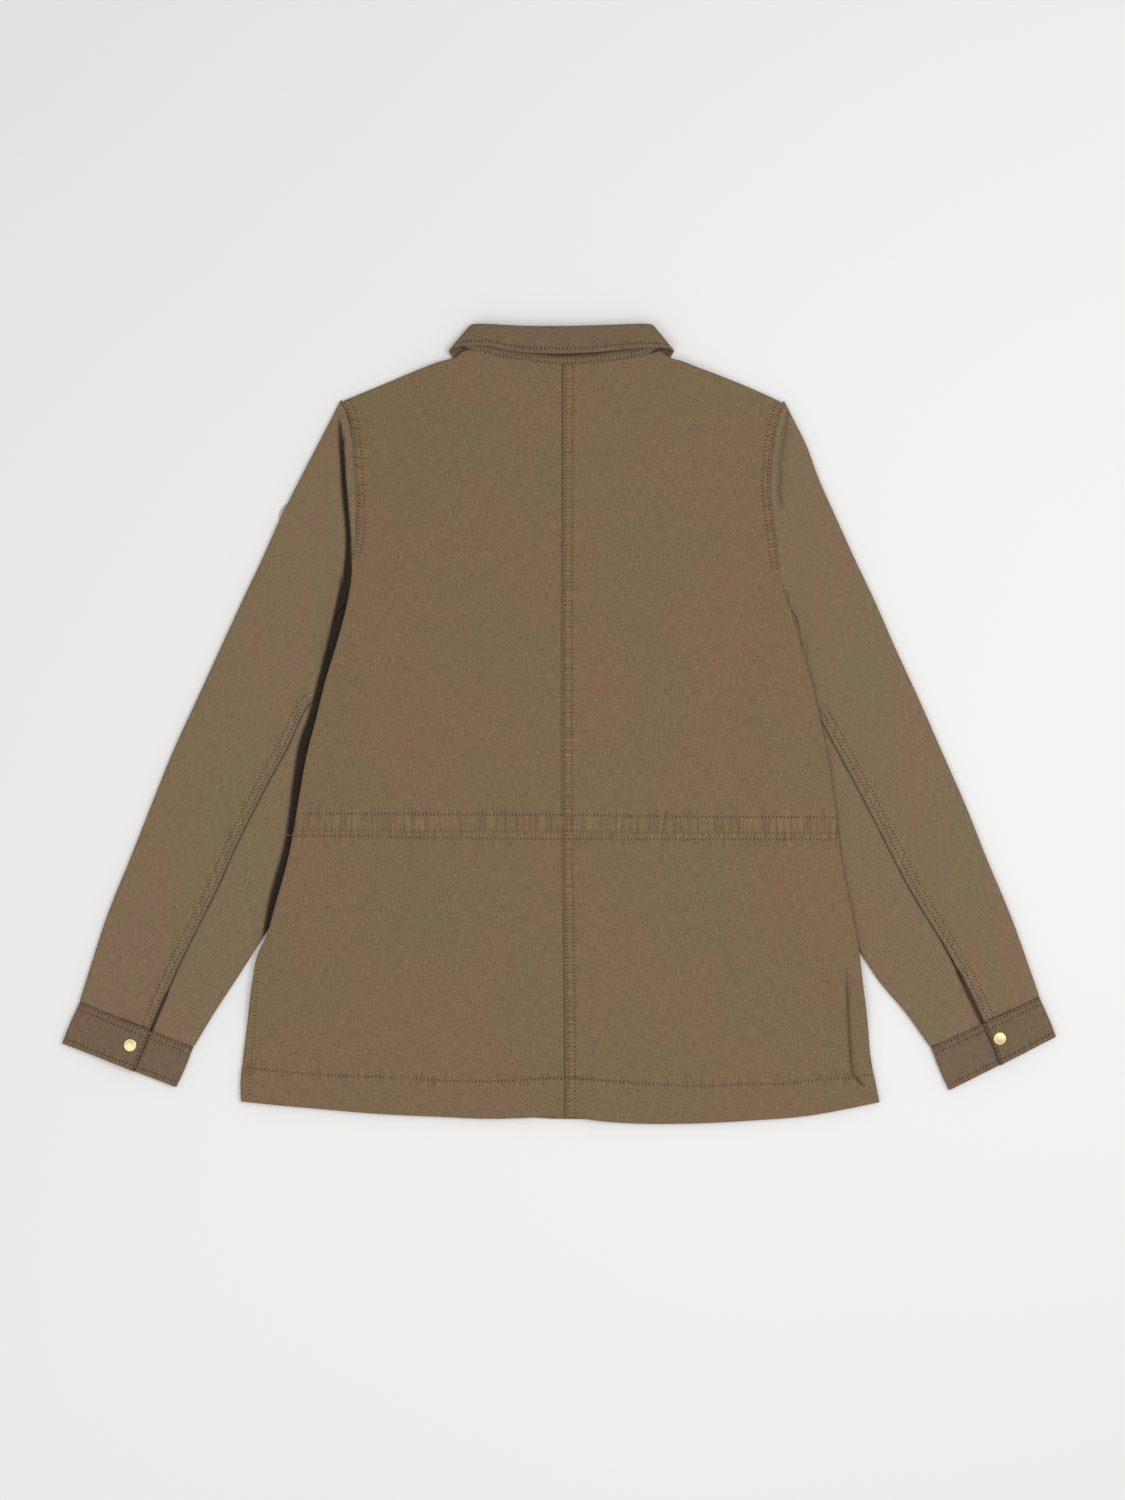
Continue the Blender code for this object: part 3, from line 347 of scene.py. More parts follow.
# Soft troughs (depth below 0) and ridges of the back: path, half width, height.
BACK_FOLDS = [
    ([(258.5, 147.2), (261.3, 92.0), (263.1, 64.4), (267.7, 39.6), (274.2, 33.1)], 3.4, -0.9),
    ([(246.0, 160.0), (250.0, 92.0), (252.0, 50.0)], 9.0, 0.7),
    ([(-242.9, 266.8), (-132.5, 266.3), (-1.8, 265.9), (125.1, 265.0), (249.3, 264.0)], 2.2, -0.35),
    ([(60.0, 252.0), (160.0, 254.5), (236.0, 252.0)], 4.0, -0.4),
    ([(-210.0, 250.0), (-120.0, 252.0), (-40.0, 251.0)], 4.5, -0.3),
    ([(30.0, 205.0), (70.0, 160.0), (120.0, 118.0)], 12.0, -0.5),
    ([(60.0, 120.0), (110.0, 92.0), (170.0, 70.0)], 10.0, 0.45),
    ([(196.0, 540.0), (182.0, 543.0), (160.0, 539.0)], 3.2, -0.6),
    ([(197.0, 528.0), (184.0, 528.0), (170.0, 522.0)], 3.6, 0.5),
    ([(-190.0, 560.0), (-174.0, 520.0), (-168.0, 470.0)], 9.0, -0.55),
    ([(-186.0, 640.0), (-150.0, 600.0), (-132.0, 540.0)], 18.0, -0.6),
    ([(182.0, 632.0), (150.0, 596.0), (134.0, 540.0)], 17.0, -0.55),
    ([(-60.0, 640.0), (-110.0, 610.0), (-150.0, 560.0)], 22.0, 0.5),
    ([(70.0, 640.0), (112.0, 600.0), (140.0, 560.0)], 22.0, 0.45),
    ([(-236.0, 300.0), (-190.0, 330.0), (-150.0, 380.0)], 14.0, -0.5),
    ([(236.0, 300.0), (196.0, 322.0), (150.0, 372.0)], 14.0, -0.5),
    ([(-200.0, 215.0), (-190.0, 150.0), (-196.0, 70.0)], 16.0, -0.55),
    ([(-110.0, 230.0), (-104.0, 160.0), (-112.0, 70.0)], 20.0, 0.5),
    ([(180.0, 235.0), (188.0, 150.0), (184.0, 60.0)], 18.0, -0.5),
]

# Creases of the sleeves' upper ply, in the same way.
SLEEVE_FOLDS = {
    "left": [
        ([(-296.0, 236.0), (-316.0, 214.0), (-342.0, 202.0)], 7.0, -0.7),
        ([(-300.0, 190.0), (-326.0, 170.0), (-348.0, 160.0)], 6.0, -0.6),
        ([(-372.0, 168.0), (-398.0, 158.0), (-420.0, 160.0)], 6.0, -0.5),
        ([(-330.0, 118.0), (-346.0, 104.0), (-352.0, 92.0)], 4.0, -0.6),
        ([(-262.0, 330.0), (-290.0, 318.0), (-330.0, 322.0)], 12.0, -0.6),
        ([(-250.0, 440.0), (-268.0, 470.0), (-272.0, 510.0)], 12.0, 0.5),
        ([(-386.0, 118.0), (-400.0, 108.0), (-422.0, 112.0)], 4.0, -0.45),
    ],
    "right": [
        ([(364.3, 124.2), (368.0, 116.0), (371.7, 107.6)], 3.0, -0.8),
        ([(332.1, 119.6), (337.0, 116.0), (341.3, 110.4)], 3.2, -0.8),
        ([(268.0, 268.0), (280.0, 240.0), (286.0, 205.0)], 8.0, -0.7),
        ([(300.0, 205.0), (312.0, 178.0), (330.0, 160.0)], 6.0, -0.6),
        ([(388.0, 170.0), (404.0, 160.0), (416.0, 164.0)], 6.0, -0.5),
        ([(250.0, 330.0), (282.0, 322.0), (318.0, 330.0)], 12.0, -0.6),
        ([(228.0, 560.0), (238.0, 520.0), (240.0, 470.0)], 12.0, 0.5),
        ([(392.0, 128.0), (404.0, 118.0), (424.0, 122.0)], 4.0, -0.45),
    ],
}

SNAP_ON_PATTERN = CUFF["left"]["snap"]
SNAP_LOW, SNAP_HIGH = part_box("snap_left")
TO_FRAME = np.array([
    (SNAP_LOW[0] + SNAP_HIGH[0]) / 2.0 - SNAP_ON_PATTERN[0] * MM,
    (SNAP_LOW[1] + SNAP_HIGH[1]) / 2.0 - SNAP_ON_PATTERN[1] * MM,
    0.0,
])

BADGE_THICKNESS = 1.2
HEM_STEP = 1.6
# How much painted shade each kind of seam, row of stitches, crease or vent gets, from 0 to 1.
PAINTED_SHADE = {
    "felled rows": 0.22, "centre seam": 0.4, "armhole rows": 0.24, "armhole seam": 0.5, "hem row": 0.3,
    "waist rows": 0.3, "waist crease": 0.16, "side crease": 0.6, "sleeve rows": 0.24, "vent": 0.9,
}
# Thread and needle holes: their tints, and a hole's length and width beside the thread's width. The thread's
# light tint is partly its own colour and partly painted highlight; the holes' dark tint is painted shade
# inside them.
THREAD_TINT_AND_HIGHLIGHT = (1.85, 1.8, 1.75)
HOLE_SHADE_TINT = (0.24, 0.23, 0.22)
HOLE_LENGTH, HOLE_WIDTH = 1.6, 1.25
# How strongly the creases listed below are pressed into the cloth.
FOLD_DEPTH = 1.5
# How far the sleeve's first edge is tucked under the body at the armhole seam, and how deep.
HEAD_TUCK, HEAD_TUCK_DROP = 2.6, 1.25
# How far the back's neck edge is tucked under the collar's stand, and how deep.
NECK_TUCK, NECK_TUCK_DROP = 2.5, 1.2
LEAST_TUCK = 0.1
# Where the sleeve's back seam comes out from beneath the body.
SLEEVE_SEAM_TOP = {"left": 392.0, "right": 362.0}
# Where the vent above each cuff begins.
VENT_TOP = {"left": 118.0, "right": 138.0}
# Width of the flat strip beside the left armhole seam, by height.
SEAM_STRIP = [(518.0, 0.0), (533.6, 2.9), (570.0, 6.9), (589.0, 7.4), (644.0, 6.4)]
FELLED_BAND = 10.4
FELLED_ROWS = (2.8, 9.2)
ARMHOLE_ROWS = (2.8, 7.4)
SLEEVE_SEAM_ROWS = {"left": (3.7, 9.0), "right": (5.2, 10.6)}


# ---- shapes ---------------------------------------------------------------------------------


def smooth(low, high, value):
    """Rise from 0 at low to 1 at high with level ends."""
    share = np.clip((np.asarray(value, float) - low) / (high - low), 0.0, 1.0)
    return share * share * (3.0 - 2.0 * share)


def bell(distance, width):
    """Soft hump that is 1 at distance 0."""
    return np.exp(-((np.asarray(distance, float) / width) ** 2))


def fair(points, spacing=4.0):
    """Close points on the smooth curve through the given ones."""
    path = np.asarray(points, float)
    steps = np.linalg.norm(np.diff(path, axis=0), axis=1)
    slopes = np.diff(path, axis=0) / steps[:, None]
    tangents = np.concatenate((slopes[:1], slopes[:1], slopes[1:]))[: len(path)].copy()
    tangents[-1] = slopes[-1]
    if len(path) > 2:
        weight = (steps[1:] / (steps[:-1] + steps[1:]))[:, None]
        tangents[1:-1] = slopes[:-1] * weight + slopes[1:] * (1.0 - weight)
    curve = []
    for place, step in enumerate(steps):
        count = max(1, math.ceil(step / spacing))
        t = (np.arange(count) / count)[:, None]
        curve.append(
            (2 * t**3 - 3 * t**2 + 1) * path[place]
            + (t**3 - 2 * t**2 + t) * step * tangents[place]
            + (-2 * t**3 + 3 * t**2) * path[place + 1]
            + (t**3 - t**2) * step * tangents[place + 1]
        )
    return np.concatenate(curve + [path[-1:]])


def level_curve(knots, values, places):
    """Values between knots on a curve that never overshoots them, along the first axis."""
    knots, values = np.asarray(knots, float), np.asarray(values, float)
    gaps = np.diff(knots).reshape((-1,) + (1,) * (values.ndim - 1))
    slopes = np.diff(values, axis=0) / gaps
    tangents = np.zeros_like(values)
    tangents[0], tangents[-1] = slopes[0], slopes[-1]
    before, after = slopes[:-1], slopes[1:]
    rising = before * after > 0.0
    near, far = 2 * gaps[1:] + gaps[:-1], gaps[1:] + 2 * gaps[:-1]
    with np.errstate(divide="ignore", invalid="ignore"):
        mean = (near + far) / (near / before + far / after)
    tangents[1:-1] = np.where(rising, mean, 0.0)
    places = np.asarray(places, float)
    segment = np.clip(np.searchsorted(knots, places, side="right") - 1, 0, len(knots) - 2)
    step = gaps[segment]
    t = (places - knots[segment]).reshape(step.shape) / step
    return (
        (2 * t**3 - 3 * t**2 + 1) * values[segment]
        + (t**3 - 2 * t**2 + t) * step * tangents[segment]
        + (-2 * t**3 + 3 * t**2) * values[segment + 1]
        + (t**3 - t**2) * step * tangents[segment + 1]
    )


def spread(knots, spacing, fine=()):
    """Places from first knot to last, closer together in the fine (low, high, spacing) stretches."""
    stops = sorted({float(knots[0]), float(knots[-1])} | {
        float(edge) for low, high, _ in fine for edge in (low, high) if knots[0] < edge < knots[-1]
    })
    places = []
    for low, high in zip(stops, stops[1:]):
        middle = (low + high) / 2.0
        step = min([spacing] + [near for start, end, near in fine if start <= middle <= end])
        count = max(1, math.ceil((high - low) / step))
        places += list(low + (high - low) * np.arange(count) / count)
    return np.array(places + [stops[-1]])


def travelled(points):
    """Distance along a path at each of its points."""
    steps = np.linalg.norm(np.diff(np.asarray(points, float), axis=0), axis=-1)
    return np.concatenate(([0.0], np.cumsum(steps)))


def distances(grid, axis):
    """How far each place of a grid lies along the cloth from the first one on its line."""
    steps = np.linalg.norm(np.diff(grid, axis=axis), axis=2)
    start = np.zeros((1, grid.shape[1]) if axis == 0 else (len(grid), 1))
    return np.concatenate((start, np.cumsum(steps, axis=axis)), axis=axis)


def along(path, share):
    """Points at shares of a path's length."""
    path = np.asarray(path, float)
    lengths = travelled(path)
    share = np.asarray(share, float) * lengths[-1]
    return np.stack([np.interp(share, lengths, path[:, axis]) for axis in range(path.shape[1])], axis=-1)


def distance_outside(region, places):
    """Distance from each place to a region, 0 inside it."""
    corners = np.asarray(region, float)
    following = np.roll(corners, -1, axis=0)
    flat = np.asarray(places, float).reshape(-1, 2)
    nearest = np.full(len(flat), np.inf)
    crossings = np.zeros(len(flat), int)
    for corner, end in zip(corners, following):
        span = end - corner
        reach = flat - corner
        share = np.clip(reach @ span / (span @ span), 0.0, 1.0)
        nearest = np.minimum(nearest, np.hypot(*(reach - share[:, None] * span).T))
        crosses = (corner[1] > flat[:, 1]) != (end[1] > flat[:, 1])
        rise = span[1] if span[1] else 1.0
        crossings += crosses & (flat[:, 0] < corner[0] + (flat[:, 1] - corner[1]) / rise * span[0])
    nearest[crossings % 2 == 1] = 0.0
    return nearest.reshape(np.shape(places)[:-1])


def path_distance(path, places):
    """Distance from each place to a path, and the share of its length at the nearest point."""
    path = np.asarray(path, float)
    lengths = travelled(path)
    flat = np.asarray(places, float).reshape(-1, 2)
    nearest = np.full(len(flat), np.inf)
    shares = np.zeros(len(flat))
    for place, (start, end) in enumerate(zip(path, path[1:])):
        span = end - start
        share = np.clip((flat - start) @ span / (span @ span), 0.0, 1.0)
        away = np.hypot(*(flat - start - share[:, None] * span).T)
        nearer = away < nearest
        nearest[nearer] = away[nearer]
        shares[nearer] = (
            lengths[place] + share * (lengths[place + 1] - lengths[place])
        )[nearer] / lengths[-1]
    shape = np.shape(places)[:-1]
    return nearest.reshape(shape), shares.reshape(shape)


def folds_height(folds, places):
    """Height that the soft troughs and ridges add at each place."""
    total = np.zeros(np.shape(places)[:-1])
    for path, width, height in folds:
        away, share = path_distance(fair(path, 8.0), places)
        taper = smooth(0.0, 0.28, share) * (1.0 - smooth(0.72, 1.0, share))
        total += FOLD_DEPTH * height * bell(away, width) * taper
    return total


def curve_y(path, x):
    """Height up the jacket of a crosswise path at each x."""
    path = fair(path)
    return np.interp(x, path[:, 0], path[:, 1])


def curve_x(path, y):
    """Sideways place of a lengthwise path at each height up the jacket."""
    path = fair(path)
    order = np.argsort(path[:, 1], kind="stable")
    return np.interp(y, path[order, 1], path[order, 0])


def body_lift(places):
    """How far the body is raised by the sleeves and the collar that lie under it."""
    left = distance_outside(TUCKED_REGION["left"], places)
    right = distance_outside(TUCKED_REGION["right"], places)
    over_sleeve = 1.0 - smooth(*TUCKED_MARGIN, np.where(places[..., 0] < 0.0, left, right))
    over_collar = 1.0 - smooth(*COLLAR_MARGIN, distance_outside(COLLAR_REGION, places))
    return SLEEVE_LIFT * over_sleeve + NECK_LIFT * over_collar


def hem_share(places):
    """1 in the turned hem, 0 above its stitching."""
    above = places[..., 1] - curve_y(HEM_ROW, places[..., 0])
    return 1.0 - smooth(-0.4, HEM_STEP, above)


def cloth_thickness(places):
    """Wall of a body panel, thicker where the hem is turned."""
    return CLOTH + (HEM_CLOTH - CLOTH) * hem_share(places)


def front_level(places):
    """Height of the front's middle surface."""
    return FRONT_LEVEL + body_lift(places) + (HEM_CLOTH - CLOTH) / 2.0 * hem_share(places)


def lapped_front_level(places):
    """Height of the front that laps over the other one at the centre."""
    lap = 1.0 - smooth(PLACKET_HALF_WIDTH + 3.0, PLACKET_HALF_WIDTH + 18.0, np.abs(places[..., 0]))
    return front_level(places) + lap * (cloth_thickness(places) + 0.4)


def back_level(places):
    """Height of the back's middle surface, without its seams and creases."""
    centre = 1.0 - smooth(30.0, 60.0, np.abs(places[..., 0]))
    collar = 1.0 - smooth(*COLLAR_MARGIN, distance_outside(COLLAR_REGION, places))
    return (
        BACK_LEVEL + body_lift(places) + hem_share(places) * (0.4 + 1.3 * centre)
        + 0.4 * centre + 0.2 * collar
    )


def waist_height(places):
    """The drawstring channel: its band, its stitched edges and its uneven gathers."""
    x, y = places[..., 0], places[..., 1]
    upper, lower = curve_y(WAIST_ROWS[0], x), curve_y(WAIST_ROWS[1], x)
    middle, half = (upper + lower) / 2.0, (upper - lower) / 2.0
    across = np.abs(y - middle) / half
    band = 1.0 - smooth(0.86, 1.12, across)
    ditches = -0.28 * (bell(y - upper, 1.2) + bell(y - lower, 1.2))
    wave = (
        0.5 * np.sin(x / 1.21 + 1.4 * np.sin(x / 16.0))
        + 0.4 * np.sin(x / 1.93 + 2.1 + 1.1 * np.sin(x / 27.0))
        + 0.35 * np.sin(x / 3.3 + 0.7)
    )
    strength = np.interp(
        x, [-250, -200, -120, -60, -12, 12, 60, 120, 180, 250],
        [0.9, 1.0, 0.6, 0.5, 0.1, 0.1, 0.4, 0.8, 1.1, 1.0]
    )
    reach = bell(np.maximum(np.abs(y - middle) - half, 0.0), 6.0)
    return band * WAIST_BAND_RISE + ditches + 0.12 * wave * strength * reach


def seam_rows(distance, rows, depth=0.32, width=0.9):
    """The ditches that rows of stitching pull at their distances from a seam."""
    return -depth * sum(bell(distance - row, width) for row in rows)


def back_details(side, places):
    """Height, painted shade in seams, stitch rows and creases, and pucker strengths of a back panel at each
    place.
    """
    outward = -1.0 if side == "left" else 1.0
    x, y = places[..., 0], places[..., 1]
    height = folds_height(BACK_FOLDS, places) + waist_height(places)
    shade = np.zeros_like(x)
    from_centre = outward * (x - curve_x(CENTRE_SEAM, y))
    if side == "right":
        height += 0.45 * (1.0 - smooth(FELLED_BAND - 1.2, FELLED_BAND + 0.6, from_centre))
        height += seam_rows(from_centre, FELLED_ROWS)
        shade += PAINTED_SHADE["felled rows"] * sum(bell(from_centre - row, 0.9) for row in FELLED_ROWS)
    else:
        height -= 0.35 * bell(from_centre, 1.6)
    shade += PAINTED_SHADE["centre seam"] * bell(from_centre, 0.8)
    from_armhole, share = path_distance(fair(ARMHOLE_SEAM[side]), places)
    in_length = smooth(0.0, 0.02, share) * (1.0 - smooth(0.98, 1.0, share))
    height += in_length * (
        0.35 * (1.0 - smooth(7.6, 9.4, from_armhole)) + seam_rows(from_armhole, ARMHOLE_ROWS)
    )
    armhole_rows = sum(bell(from_armhole - row, 0.9) for row in ARMHOLE_ROWS)
    armhole_seam = bell(from_armhole, 0.9)
    shade += in_length * (
        PAINTED_SHADE["armhole rows"] * armhole_rows + PAINTED_SHADE["armhole seam"] * armhole_seam
    )
    from_hem = y - curve_y(HEM_ROW, x)
    height += seam_rows(from_hem, (0.0,), 0.3, 1.1)
    shade += PAINTED_SHADE["hem row"] * bell(from_hem, 0.8)
    upper, lower = curve_y(WAIST_ROWS[0], x), curve_y(WAIST_ROWS[1], x)
    waist_rows = bell(y - upper, 0.8) + bell(y - lower, 0.8)
    waist_crease = bell(y - curve_y(WAIST_CREASE, x), 1.5)
    shade += PAINTED_SHADE["waist rows"] * waist_rows + PAINTED_SHADE["waist crease"] * waist_crease
    if side == "left":
        from_side, share = path_distance(fair(SIDE_ROW), places)
        height += seam_rows(from_side, (0.0,), 0.18, 1.0) * smooth(0.0, 0.1, share)
    else:
        crease, share = path_distance(fair(BACK_FOLDS[0][0]), places)
        shade += PAINTED_SHADE["side crease"] * bell(crease, 1.6) * smooth(0.0, 0.3, share)
    pucker_x = bell(y - (upper + lower) / 2.0, 15.0) * 0.9 + 0.6 * bell(from_hem, 7.0)
    beside_centre = 0.8 if side == "right" else 0.15
    pucker_y = (
        beside_centre * bell(from_centre - 5.0, 7.0)
        + in_length * 0.8 * bell(from_armhole - 4.0, 6.0)
    )
    return height, shade, pucker_x, pucker_y


def body_grid(side, rows, hem, neck, level, direction, spacing):
    """Fine grid of one body panel: a patch between its four edges, folded at the side and shoulder."""
    outward = -1.0 if side == "left" else 1.0
    fold = (BACK_LEVEL - FRONT_LEVEL) / 2.0
    inset = fold + CLOTH / 2.0
    hem, neck, shoulder = fair(hem), fair(neck), fair(SHOULDER[side])
    edge = fair(EDGE[side])
    fine = [(0.0, 0.042, 0.0046), (0.9, 1.0, 0.0058), (NECK_COLUMN - 0.02, NECK_COLUMN + 0.03, 0.006)]
    shares = spread((0.0, 1.0), spacing / 300.0, fine if direction < 0 else fine[1:])
    tilt = np.radians(22.0) * smooth(NECK_COLUMN - 0.02, NECK_COLUMN + 0.05, shares)
    square = np.stack((outward * np.sin(tilt), np.cos(tilt)), axis=1)

    on_neck = along(neck, np.clip(shares / NECK_COLUMN, 0.0, 1.0))
    on_shoulder = along(shoulder, np.clip((shares - NECK_COLUMN) / (1.0 - NECK_COLUMN), 0.0, 1.0))
    top = np.where((shares <= NECK_COLUMN)[:, None], on_neck, on_shoulder) - inset * square
    top[:, 0] -= outward * inset * shares**8
    bottom = along(hem, shares)
    bottom[:, 0] -= outward * inset * shares

    last_centre, last_edge = rows[-1]
    table = np.array(list(rows) + [(top[0, 1], top[-1, 1])])
    centre_y = spread(
        table[:, 0], spacing, [(table[0, 0], table[0, 0] + 3.0, 1.0), (28.0, 50.0, 1.2), (256.0, 285.0, 1.0)]
    ) if direction < 0 else spread(table[:, 0], spacing)
    edge_y = np.interp(centre_y, table[:, 0], table[:, 1])
    up = (centre_y - centre_y[0]) / (centre_y[-1] - centre_y[0])
    centre = bottom[0] + (top[0] - bottom[0]) * up[:, None]
    flank = np.stack((np.interp(edge_y, edge[:, 1], edge[:, 0]) - outward * inset, edge_y), axis=1)
    flank[0], flank[-1] = bottom[-1], top[-1]

    s, u = shares[None, :, None], up[:, None, None]
    ruled = (1 - s) * centre[:, None] + s * flank[:, None]
    crossed = (1 - u) * bottom[None] + u * top[None]
    corners = (1 - u) * ((1 - s) * bottom[0] + s * bottom[-1]) + u * ((1 - s) * top[0] + s * top[-1])
    sheet = ruled + crossed - corners
    if direction < 0:
        sheet[..., 0] += (1 - s[..., 0]) * outward * SEAM_GAP / 8.0

    angles = np.radians([0.0, 15.0, 30.0, 45.0, 60.0, 72.0, 82.0])
    reach, drop = fold * np.sin(angles), 1.0 - np.cos(angles)
    flap = sheet[:, -1:] + reach[None, 1:, None] * np.array([outward, 0.0])
    sheet = np.concatenate((sheet, flap), axis=1)
    side_drop = np.concatenate((np.zeros(len(shares)), drop[1:]))
    top_square = np.concatenate((square, np.repeat(square[-1:], len(angles) - 1, axis=0)))
    over = sheet[-1:] + reach[1:, None, None] * top_square[None]
    sheet = np.concatenate((sheet, over), axis=0)
    top_drop = np.concatenate((np.zeros(len(centre_y)), drop[1:]))
    full_shares = np.concatenate((shares, np.ones(len(angles) - 1)))

    in_fold = 1.0 - smooth(UNDERARM_Y[side] - 30.0, UNDERARM_Y[side], sheet[..., 1])
    in_shoulder = smooth(NECK_COLUMN - 0.01, NECK_COLUMN + 0.06, full_shares)[None]
    half = (back_level(sheet) - front_level(sheet)) / 2.0
    fall = half * np.minimum(1.0, side_drop[None] * in_fold + top_drop[:, None] * in_shoulder)
    z = level(sheet) + direction * fall
    keep = (1.0 - side_drop[None] * in_fold) * (1.0 - top_drop[:, None] * in_shoulder)
    return np.concatenate((sheet, z[..., None]), axis=2), np.clip(keep, 0.0, 1.0)


def armhole_path(side):
    """The armhole seam's line from the shoulder point down past the underarm."""
    table = [point for point in EDGE[side] if point[1] >= UNDERARM_Y[side] - 0.01]
    return [(x, y - 0.5) for x, y in reversed(table)]


def head_point(side, offsets, share):
    """Point of a sleeve head row at a share of its length."""
    outward = -1.0 if side == "left" else 1.0
    if share <= UNDERARM_FRACTION:
        base = along(armhole_path(side), share / UNDERARM_FRACTION)
    else:
        tail = [tuple(armhole_path(side)[-1])] + ARMHOLE_TAIL[side]
        base = along(tail, (share - UNDERARM_FRACTION) / (1.0 - UNDERARM_FRACTION))
    if offsets is None:
        return base
    out = np.interp(share, HEAD_SHARES, [offset[0] for offset in offsets])
    fall = np.interp(share, HEAD_SHARES, [offset[1] for offset in offsets])
    return base + np.array([outward * out, -fall])


def badge_rise(point):
    """How far the badge raises the under ply of the sleeve that it is sewn to."""
    away = math.hypot(point[0] - BADGE_CENTRE[0], point[1] - BADGE_CENTRE[1])
    return (BADGE_THICKNESS + SEAM_GAP) * float(
        1.0 - smooth(BADGE_CLEAR_RADIUS, 2.2 * BADGE_CLEAR_RADIUS, away)
    )


def sleeve_level(side, point):
    """Height of the sleeve's upper ply, low where it lies under the body."""
    away = distance_outside([(0.0, 0.0)] + EDGE[side][:17] + [(0.0, 518.0)], point)
    rise = SLEEVE_FREE_LEVEL - SLEEVE_TUCKED_LEVEL
    return SLEEVE_TUCKED_LEVEL + rise * float(smooth(8.0, 32.0, away))


def sleeve_rows(side):
    """Each row of the sleeve: its line, its upper and lower heights, seam share and opening."""
    crease = CREASE_LEVEL[side]

    def on_strip(share):
        return 1.0 - float(smooth(UNDERARM_FRACTION, UNDERARM_FRACTION + 0.1, share))

    def head_line(offsets):
        return lambda share: head_point(side, offsets, share)

    def seam_upper(share, point):
        return SLEEVE_TUCKED_LEVEL + (back_level(point) - SLEEVE_TUCKED_LEVEL) * on_strip(share)

    def seam_lower(share, point):
        return FRONT_LEVEL + (front_level(point) - FRONT_LEVEL) * on_strip(share)

    def flat_lower(share, point):
        return FRONT_LEVEL + badge_rise(point)

    def crease_upper(share, point):
        near_shoulder = 1.0 - float(smooth(0.0, 0.12, share))
        return crease + (BACK_LEVEL - 0.2 - crease) * near_shoulder

    def shoulder_upper(share, point):
        return SLEEVE_FREE_LEVEL - 0.3 - 1.2 * float(smooth(0.6, 0.85, share))

    rows = [
        (head_line(None), seam_upper, seam_lower, HEAD_SEAM_SHARE, HEAD_SEAM_GAP),
        (head_line(HEAD_CREST), seam_upper, flat_lower, HEAD_SEAM_SHARE, HEAD_SEAM_GAP),
        (head_line(HEAD_CREASE), crease_upper, flat_lower, HEAD_SEAM_SHARE, HEAD_SEAM_GAP),
        (head_line(HEAD_SHOULDER), shoulder_upper, flat_lower, HEAD_SEAM_SHARE, HEAD_SEAM_GAP),
    ]
    outward = -1.0 if side == "left" else 1.0
    for station, (outer_x, outer_y, inner_x, inner_y, seam, opening) in enumerate(SLEEVE[side]):
        path = [(outer_x, outer_y), (inner_x, inner_y)]
        if station < len(SLEEVE_APPROACH):
            path.insert(1, (inner_x + outward * SLEEVE_APPROACH[station], inner_y + 1.0))
        rows.append((
            lambda share, path=path: along(path, share),
            lambda share, point: sleeve_level(side, point), flat_lower, seam, opening,
        ))
    return rows


def fold_directions(ends, side, at_outer):
    """Unit vectors that point out of the sleeve, square to the line of its fold."""
    run = np.gradient(ends, axis=0)
    square = np.stack((-run[:, 1], run[:, 0]), axis=1)
    square /= np.linalg.norm(square, axis=1, keepdims=True)
    return -square if (side == "left") == at_outer else square


def ring_stops(length, fold, seam, front, at_outer):
    """Places round one end of the flattened sleeve, from its back seam round the fold to its
    front seam: distance from the outer fold, height share and reach beyond the bend's start."""
    reach = fold + CLOTH / 2.0
    bend_start = reach if at_outer else length - reach
    span = bend_start - seam
    near = math.copysign(min(13.0, 0.45 * abs(span)), span)
    stops = [(seam + near * step / 11.0, 1.0, 0.0) for step in range(11)]
    stops += [(seam + near + (span - near) * step / 22.0, 1.0, 0.0) for step in range(22)]
    for step in range(13):
        angle = math.radians(15.0 * step)
        stops.append((bend_start, math.cos(angle), fold * math.sin(angle)))
    stops += [(bend_start + (front - bend_start) * step / 18.0, -1.0, 0.0) for step in range(1, 19)]
    return stops


